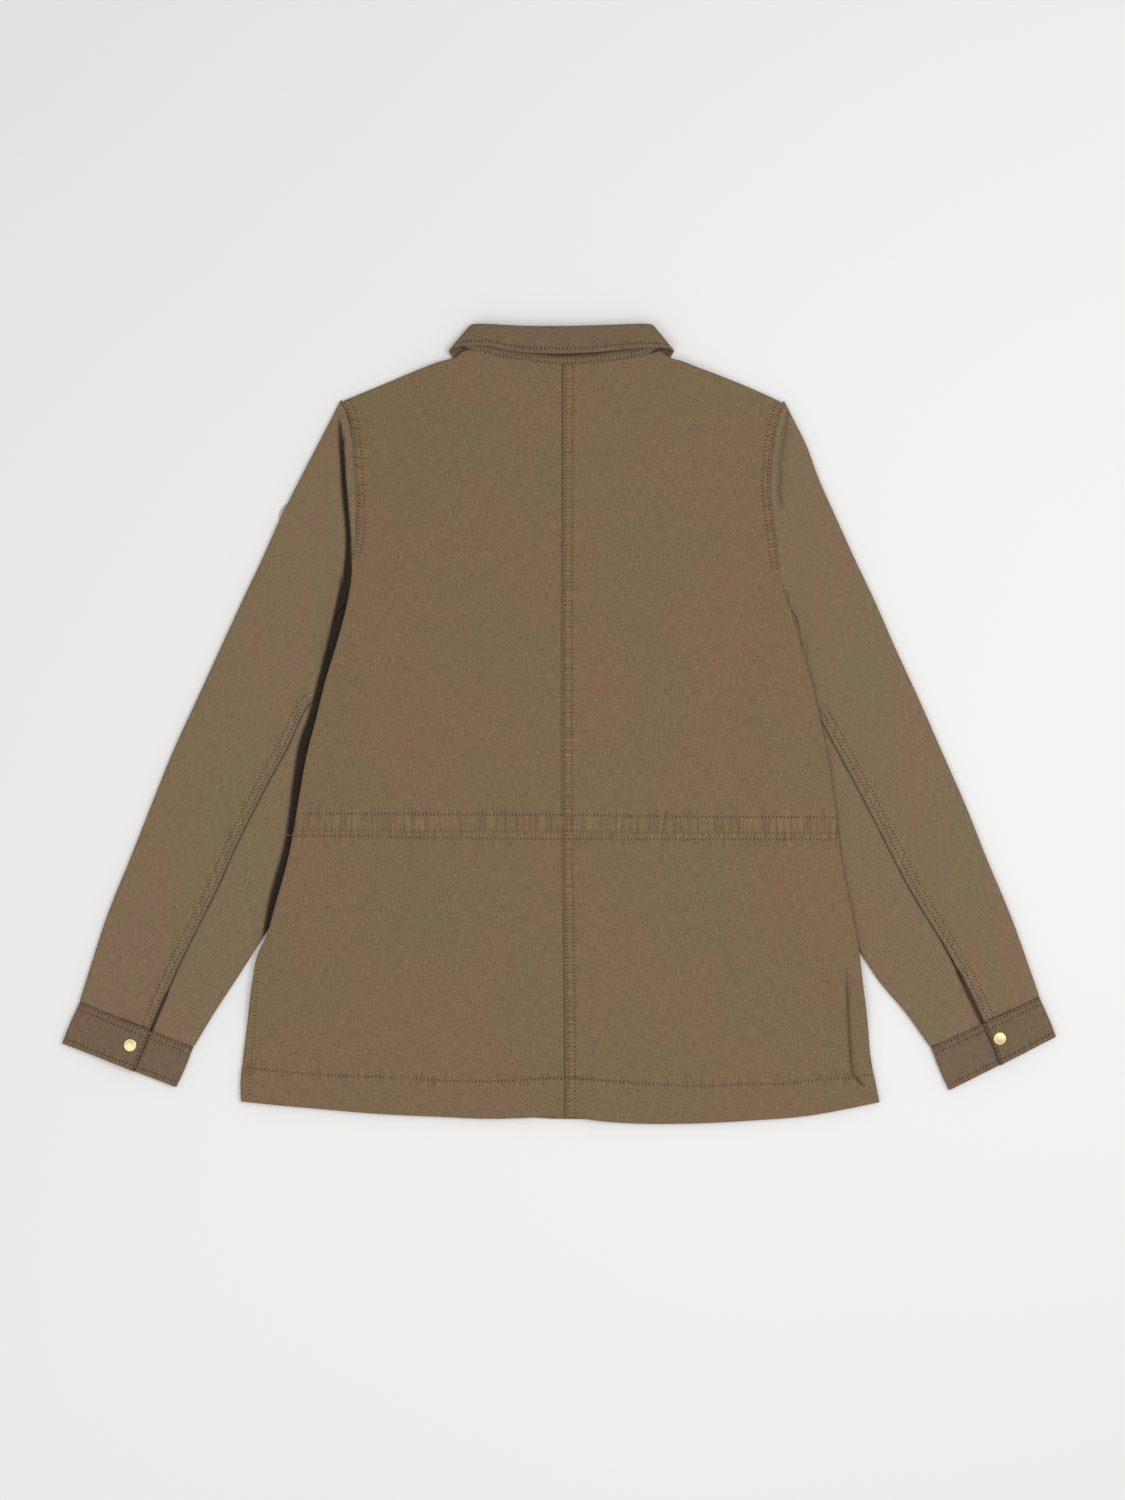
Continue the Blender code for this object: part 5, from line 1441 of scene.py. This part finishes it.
def make_backs():
    for side in ("left", "right"):
        grid, keep = body_grid(side, BACK_ROWS, BACK_HEM[side], BACK_NECK[side], back_level, -1, 2.9)
        places = grid[..., :2]
        height, shade, pucker_x, pucker_y = back_details(side, places)
        grid[..., 2] += height * keep
        run = (grid[-1] - grid[-2]) / np.linalg.norm(grid[-1] - grid[-2], axis=1, keepdims=True)
        at_neck = keep[-1:].T ** 4
        tucked = grid[-1] + run * (LEAST_TUCK + (NECK_TUCK - LEAST_TUCK) * at_neck)
        tucked[:, 2] -= NECK_TUCK_DROP * at_neck[:, 0]
        grid = np.concatenate((grid, tucked[None]))
        shade, pucker_x, pucker_y = (
            np.concatenate((part, part[-1:])) for part in (shade, pucker_x, pucker_y)
        )
        # Painted shade on the neck edge tucked under the collar's stand.
        shade[-1] = np.maximum(shade[-1], 0.9 * at_neck[:, 0])
        places = grid[..., :2]
        thickness = panel_thickness(places)
        grid, thickness, shade, pucker_x, pucker_y = turned_over(
            side, grid, thickness, shade, pucker_x, pucker_y)
        piece = add_shell(
            "back_panel_" + side, grid, thickness, grid[..., :2], shade, (pucker_x, pucker_y),
            cloth_finish("body_cloth")
        )
        finish_cloth(piece, "back_" + side)


def make_fronts():
    for side in ("left", "right"):
        level = lapped_front_level if side == "left" else front_level
        grid, keep = body_grid(side, FRONT_ROWS, FRONT_HEM[side], FRONT_NECK[side], level, 1, 5.5)
        places = grid[..., :2]
        from_hem = places[..., 1] - curve_y(HEM_ROW, places[..., 0])
        # Painted shade along the hem's stitching.
        shade = 0.2 * bell(from_hem, 1.4)
        pucker_x = 0.6 * bell(from_hem, 7.0)
        pucker_y = np.zeros_like(shade)
        thickness = panel_thickness(places)
        grid, thickness, shade, pucker_x, pucker_y = turned_over(
            side, grid, thickness, shade, pucker_x, pucker_y)
        piece = add_shell(
            "front_panel_" + side, grid, thickness, grid[..., :2], shade, (pucker_x, pucker_y),
            cloth_finish("body_cloth")
        )
        finish_cloth(piece, "front_" + side)


def make_sleeves():
    for side in ("left", "right"):
        outward = -1.0 if side == "left" else 1.0
        for node, at_outer in (("sleeve_%s_top" % side, True), ("sleeve_%s_under" % side, False)):
            grid, heights = sleeve_grid(side, at_outer)
            places = grid[..., :2]
            upper = np.clip(heights, 0.0, 1.0)[None]
            around = distances(grid, 1)
            down = distances(grid, 0)
            height = folds_height(SLEEVE_FOLDS[side], places) * upper
            seam_end = SLEEVE_SEAM_TOP[side]
            # Painted shade along the back seam below where it leaves the body, and darker painted shade in
            # the vent's opening above the cuff.
            shade = 0.5 * bell(around, 1.0) * upper * (
                1.0 - smooth(seam_end, seam_end + 14.0, places[..., 1])
            )
            shade = np.maximum(
                shade, PAINTED_SHADE["vent"] * bell(around, 1.5) * upper * (places[..., 1] < VENT_TOP[side])
            )
            pucker_y = np.zeros_like(shade)
            below_head = smooth(30.0, 60.0, down)
            if at_outer:
                height += below_head * upper * (
                    0.4 * (1.0 - smooth(11.0, 13.0, around)) + seam_rows(around, SLEEVE_SEAM_ROWS[side])
                )
                # Painted shade along the sleeve seam's stitch rows.
                shade += below_head * PAINTED_SHADE["sleeve rows"] * upper * sum(
                    bell(around - row, 0.9) for row in SLEEVE_SEAM_ROWS[side]
                )
                pucker_y += 0.8 * below_head * bell(around - 6.0, 7.0)
            hidden = np.clip(-heights, 0.0, 1.0)[None]
            height += 0.35 * hidden * (bell(np.sin(down / 31.0 + around / 40.0), 0.35))
            # Painted shadow in the deep gap between the left sleeve and the body, left off the flat strip
            # beside the armhole seam; on the right, a fainter painted shade near the armhole seam.
            if side == "left":
                gap = curve_x(GAP_OUTER, places[..., 1])
                ends = smooth(150.0, 175.0, places[..., 1]) * (1.0 - smooth(636.0, 650.0, places[..., 1]))
                in_gap = smooth(-1.2, 2.6, places[..., 0] - gap) * ends
                strip = np.interp(places[..., 1], *zip(*SEAM_STRIP))
                on_strip = smooth(-0.7, 0.7, strip - down) * (strip > 0.0)
                shade = np.maximum(shade, in_gap * (1.0 - on_strip))
            else:
                shade = np.maximum(shade, 0.35 * bell(down - 8.0, 2.5) * (places[..., 1] > 560.0))
            grid[..., 2] += height
            run = (grid[1] - grid[0]) / np.linalg.norm(grid[1] - grid[0], axis=1, keepdims=True)
            tucked = grid[0] - run * HEAD_TUCK
            tucked[:, 2] -= HEAD_TUCK_DROP * heights
            grid = np.concatenate((tucked[None], grid))
            around, down, shade, pucker_y = (
                np.concatenate((part[:1], part)) for part in (around, down, shade, pucker_y)
            )
            down[0] = -HEAD_TUCK
            # Painted shade on the row tucked under the body.
            shade[0] = 0.9
            cloth_map = np.stack((around * outward, -down), axis=-1)
            thickness = bpy.context.scene.jacket_sizes.cloth_thickness / MM
            piece = add_shell(
                node + "_panel", grid, thickness, cloth_map, shade, (np.zeros_like(shade), pucker_y),
                cloth_finish("sleeve_cloth")
            )
            finish_cloth(piece, node)


def make_cuffs():
    for side in ("left", "right"):
        grid, stops = cuff_grid(side)
        down = distances(grid, 0)
        across = np.broadcast_to(stops[None], down.shape)
        depth = down[-1:]
        rows = bell(down - 2.2, 0.8) + bell(down - 7.0, 0.8) + bell(
            depth - down - 4.6, 0.8
        ) + bell(across - 3.2, 0.8)
        normals = grid_normals(grid)
        outside = np.sign(normals[20, 10, 2])
        crown = 0.35 * smooth(7.0, 16.0, down) * smooth(4.6, 12.0, depth - down)
        grid = grid + normals * outside * (crown - 0.22 * np.minimum(rows, 1.0))[..., None]
        # Painted shade along the stitch rows and the top edge, and a painted shadow at the lapped end's edge.
        shade = 0.42 * np.minimum(rows, 1.0) + 0.4 * bell(down, 0.7) + 0.95 * bell(across, 1.3)
        pucker_x = 0.8 * (bell(down - 4.5, 6.0) + bell(depth - down - 4.6, 4.0))
        pucker_y = 0.6 * bell(across - 3.2, 4.0)
        cloth_map = np.stack((across, -down), axis=-1)
        piece = add_shell(
            "cuff_%s_band" % side, grid, STIFF_CLOTH - 0.2, cloth_map, shade, (pucker_x, pucker_y),
            cloth_finish("cuff_cloth")
        )
        finish_cloth(
            piece, "cuff_" + side
        )


def make_collar():
    grid = collar_grid()
    around = distances(grid, 0)
    across = distances(grid, 1)
    from_edge = across[:, -1:] - across
    rows = bell(from_edge - 4.6, 0.8)
    # Painted shade along the leaf's stitching, and a painted shadow on the stand under the leaf's edge.
    shade = 0.42 * rows + 0.8 * smooth(5.0, 9.0, across) * (1.0 - smooth(14.0, 20.0, across))
    pucker_x = 0.7 * bell(from_edge - 4.6, 5.0)
    cloth_map = np.stack((around[:, 20:21] + np.zeros_like(across), across), axis=-1)
    piece = add_shell(
        "collar_fold", grid, STIFF_CLOTH - 0.2, cloth_map, shade, (pucker_x, np.zeros_like(shade)),
        cloth_finish("collar_cloth")
    )
    finish_cloth(piece, "collar")


def make_stitching():
    surface = cloth_surface()
    centre = fair(CENTRE_SEAM, 6.0)
    back = [centre + np.array([distance, 0.0]) for distance in FELLED_ROWS]
    back += WAIST_ROWS + [HEM_ROW, SIDE_ROW]
    for side, outward in (("left", 1.0), ("right", -1.0)):
        back += [offset_path(ARMHOLE_SEAM[side], outward * distance) for distance in ARMHOLE_ROWS]
    add_stitching("stitching_back", "body_cloth", surface, back)
    add_stitching("stitching_neck", "collar_cloth", surface, NECK_ROWS)
    leaf = [(station[5], station[6]) for station in COLLAR if station[0] == 90]
    add_stitching("stitching_collar", "collar_cloth", surface, [[(x, y + 4.6) for x, y in leaf]])
    for side in ("left", "right"):
        seam = []
        for outer_x, outer_y, inner_x, inner_y, share, opening in SLEEVE[side][5:]:
            length = math.hypot(inner_x - outer_x, inner_y - outer_y)
            seam.append([
                (outer_x + (inner_x - outer_x) * (share - (row + opening / 2.0) / length),
                    outer_y + (inner_y - outer_y) * (share - (row + opening / 2.0) / length))
                for row in SLEEVE_SEAM_ROWS[side]
            ])
        add_stitching("stitching_sleeve_" + side, "sleeve_cloth", surface, [list(row) for row in zip(*seam)])
        cuff = CUFF[side]
        corners = [
            np.array(cuff[name]) for name in ("outer_top", "inner_top", "outer_bottom", "inner_bottom")
        ]
        fall = (corners[2] - corners[0]) / np.linalg.norm(corners[2] - corners[0])
        paths = [[tuple(corners[0] + fall * down), tuple(corners[1] + fall * down)] for down in (2.2, 7.0)]
        paths.append([tuple(corners[2] - fall * 4.6), tuple(corners[3] - fall * 4.6)])
        lap = cuff["end_share"] - 3.2 / np.linalg.norm(corners[1] - corners[0])
        paths.append(
            [tuple(corners[0] + (corners[1] - corners[0]) * lap),
                tuple(corners[2] + (corners[3] - corners[2]) * lap)]
        )
        add_stitching("stitching_cuff_" + side, "cuff_cloth", surface, paths)
    add_stitching(
        "stitching_front", "body_cloth", surface,
        [HEM_ROW, [(13.0, 8.0), (13.0, 610.0)], [(-13.0, 8.0), (-13.0, 610.0)]], False
    )


def make_snaps():
    brass = finish_named("satin_brass", satin_brass, tuple(bpy.context.scene.jacket_colours.brass))
    radius = bpy.context.scene.jacket_sizes.snap_diameter / MM / 2.0
    for side in ("left", "right"):
        low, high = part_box("snap_" + side)
        base = low[2] / MM
        profile = [
            (radius - 0.5, 0.0), (radius - 0.1, 0.25), (radius, 0.6), (radius - 0.1, 1.0),
            (radius - 0.45, 1.35),
            (radius - 0.9, 1.52), (radius - 1.3, 1.42), (radius - 1.7, 1.5), (radius - 2.8, 1.68),
            (radius - 4.4, 1.78), (0.4, 1.8),
        ]
        piece = add_turned("snap_cap_" + side, CUFF[side]["snap"], base, profile, 72, brass)
        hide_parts("snap_" + side)


def make_badge():
    felt = finish_named("brushed_felt", brushed_felt, tuple(bpy.context.scene.jacket_colours.badge))
    radius = bpy.context.scene.jacket_sizes.badge_diameter / MM / 2.0
    profile = [
        (radius - 0.2, 0.0), (radius, 0.3), (radius, 0.9), (radius - 0.3, 1.2), (radius - 1.8, 1.2),
        (radius - 2.2, 1.05), (radius - 2.6, 1.15), (0.5, 1.15)
    ]
    piece = add_turned("badge_disc", BADGE_CENTRE, 0.0, profile, 96, felt)
    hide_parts("sleeve_badge")


def make_stage():
    settings = bpy.context.scene.jacket_stage
    half = 4.0
    mesh = bpy.data.meshes.new("floor")
    mesh.from_pydata(
        [(-half, -half, -0.0006), (half, -half, -0.0006), (half, half, -0.0006), (-half, half, -0.0006)], [],
        [(0, 1, 2, 3)]
    )
    mesh.materials.append(finish_named("studio_paper", studio_paper, tuple(settings.floor_colour)))
    floor = bpy.data.objects.new("floor", mesh)
    bpy.context.collection.objects.link(floor)

    world = bpy.data.worlds.new("studio_air")
    bpy.context.scene.world = world
    world.use_nodes = True
    world.node_tree.nodes["Background"].inputs["Color"].default_value = (1.0, 0.992, 0.975, 1.0)
    world.node_tree.nodes["Background"].inputs["Strength"].default_value = settings.air_strength

    for name, place, size, power in (
        ("key_light", (1.0, 0.2, 1.8), 1.1, settings.key_power),
        ("fill_light", (-0.75, -0.9, 1.8), 1.4, settings.key_power * 0.62),
    ):
        light = bpy.data.lights.new(name, "AREA")
        light.shape, light.size, light.energy = "DISK", size, power
        lamp = bpy.data.objects.new(name, light)
        lamp.location = place
        lamp.rotation_euler = (-Vector(place)).to_track_quat("-Z", "Y").to_euler()
        bpy.context.collection.objects.link(lamp)

    camera = bpy.data.objects.new("camera", bpy.data.cameras.new("camera"))
    camera.data.lens = settings.lens
    camera.location = (0.0032, -0.0239, settings.lens / 36.0 * settings.view_height)
    bpy.context.collection.objects.link(camera)
    bpy.context.scene.camera = camera
    bpy.context.scene.view_settings.view_transform = "Standard"


# ---- the add-on -----------------------------------------------------------------------------


def length_setting(label, text, value):
    return bpy.props.FloatProperty(
        name=label, description=text, default=value, min=0.0, subtype="DISTANCE", unit="LENGTH", precision=5
    )


def colour_setting(label, text, value):
    return bpy.props.FloatVectorProperty(
        name=label, description=text, default=value, size=3, min=0.0, max=1.0, subtype="COLOR"
    )


class JacketSizes(bpy.types.PropertyGroup):
    """Sizes of the cloth, the stitching and the trims"""

    cloth_thickness: length_setting("Cloth thickness", "Thickness of the twill", 0.0011)
    stitch_pitch: length_setting("Stitch pitch", "Distance from one stitch to the next", 0.0034)
    stitch_length: length_setting("Stitch length", "Length of one stitch", 0.0025)
    thread_width: length_setting("Thread width", "Thickness of the sewing thread", 0.0009)
    snap_diameter: length_setting("Snap diameter", "Width of a snap's cap", 0.012)
    badge_diameter: length_setting("Badge diameter", "Width of the plain disc on the left sleeve", 0.030)


class JacketColours(bpy.types.PropertyGroup):
    """Colours of the cloth and the trims"""

    body: colour_setting("Body", "Colour of the fronts and the back", (0.193, 0.130, 0.0715))
    sleeve: colour_setting("Sleeves", "Colour of the sleeves", (0.202, 0.141, 0.081))
    collar: colour_setting("Collar", "Colour of the collar", (0.167, 0.116, 0.070))
    cuff: colour_setting("Cuffs", "Colour of the cuffs", (0.170, 0.114, 0.072))
    brass: colour_setting("Brass", "Colour of the snaps", (0.80, 0.66, 0.36))
    badge: colour_setting("Badge", "Colour of the plain disc", (0.55, 0.50, 0.40))


class JacketStage(bpy.types.PropertyGroup):
    """The floor, the light and the camera"""

    floor_colour: colour_setting("Floor", "Colour of the floor", (0.868, 0.868, 0.868))
    key_power: bpy.props.FloatProperty(
        name="Key light", description="Power of the main light", default=14.0, min=0.0, unit="POWER"
    )
    air_strength: bpy.props.FloatProperty(
        name="Room light", description="Strength of the light from all round", default=0.6, min=0.0
    )
    lens: bpy.props.FloatProperty(
        name="Lens", description="Focal length in millimetres", default=60.0, min=10.0
    )
    view_height: length_setting("View height", "Height of the floor that the camera sees", 1.38)


class JACKET_OT_backs(bpy.types.Operator):
    """Make the two back panels with their seams, drawstring channel and hem"""

    bl_idname = "jacket.backs"
    bl_label = "Back Panels"

    def execute(self, context):
        make_backs()
        return {"FINISHED"}


class JACKET_OT_fronts(bpy.types.Operator):
    """Make the two front panels that lie beneath"""

    bl_idname = "jacket.fronts"
    bl_label = "Front Panels"

    def execute(self, context):
        make_fronts()
        return {"FINISHED"}


class JACKET_OT_sleeves(bpy.types.Operator):
    """Make the four sleeve pieces"""

    bl_idname = "jacket.sleeves"
    bl_label = "Sleeves"

    def execute(self, context):
        make_sleeves()
        return {"FINISHED"}


class JACKET_OT_cuffs(bpy.types.Operator):
    """Make the two cuffs"""

    bl_idname = "jacket.cuffs"
    bl_label = "Cuffs"

    def execute(self, context):
        make_cuffs()
        return {"FINISHED"}


class JACKET_OT_collar(bpy.types.Operator):
    """Make the folded collar"""

    bl_idname = "jacket.collar"
    bl_label = "Collar"

    def execute(self, context):
        make_collar()
        return {"FINISHED"}


class JACKET_OT_stitching(bpy.types.Operator):
    """Lay the rows of stitches on the cloth"""

    bl_idname = "jacket.stitching"
    bl_label = "Stitching"

    def execute(self, context):
        make_stitching()
        return {"FINISHED"}


class JACKET_OT_snaps(bpy.types.Operator):
    """Make the snaps of the cuffs"""

    bl_idname = "jacket.snaps"
    bl_label = "Snaps"

    def execute(self, context):
        make_snaps()
        return {"FINISHED"}


class JACKET_OT_badge(bpy.types.Operator):
    """Make the plain disc on the left sleeve"""

    bl_idname = "jacket.badge"
    bl_label = "Badge"

    def execute(self, context):
        make_badge()
        return {"FINISHED"}


class JACKET_OT_stage(bpy.types.Operator):
    """Make the floor, the lights and the camera"""

    bl_idname = "jacket.stage"
    bl_label = "Stage"

    def execute(self, context):
        make_stage()
        return {"FINISHED"}


OPERATORS = (
    JACKET_OT_backs, JACKET_OT_fronts, JACKET_OT_sleeves, JACKET_OT_cuffs, JACKET_OT_collar,
    JACKET_OT_stitching, JACKET_OT_snaps, JACKET_OT_badge, JACKET_OT_stage,
)
SETTINGS = {"jacket_sizes": JacketSizes, "jacket_colours": JacketColours, "jacket_stage": JacketStage}


class JACKET_PT_maker(bpy.types.Panel):
    """Settings and steps of the jacket"""

    bl_idname = "JACKET_PT_maker"
    bl_label = "Safari Jacket"
    bl_space_type = "VIEW_3D"
    bl_region_type = "UI"
    bl_category = "Jacket"

    def draw(self, context):
        for name, group in SETTINGS.items():
            box = self.layout.box()
            for setting in group.__annotations__:
                box.prop(getattr(context.scene, name), setting)
        for operator in OPERATORS:
            self.layout.operator(operator.bl_idname)


CLASSES = tuple(SETTINGS.values()) + OPERATORS + (JACKET_PT_maker,)


def register():
    for part in CLASSES:
        bpy.utils.register_class(part)
    for name, group in SETTINGS.items():
        setattr(bpy.types.Scene, name, bpy.props.PointerProperty(type=group))


def unregister():
    for name in SETTINGS:
        delattr(bpy.types.Scene, name)
    for part in reversed(CLASSES):
        bpy.utils.unregister_class(part)


def main():
    register()
    for operator in OPERATORS:
        getattr(bpy.ops.jacket, operator.bl_idname.split(".")[1])()


if __name__ == "__main__":
    main()
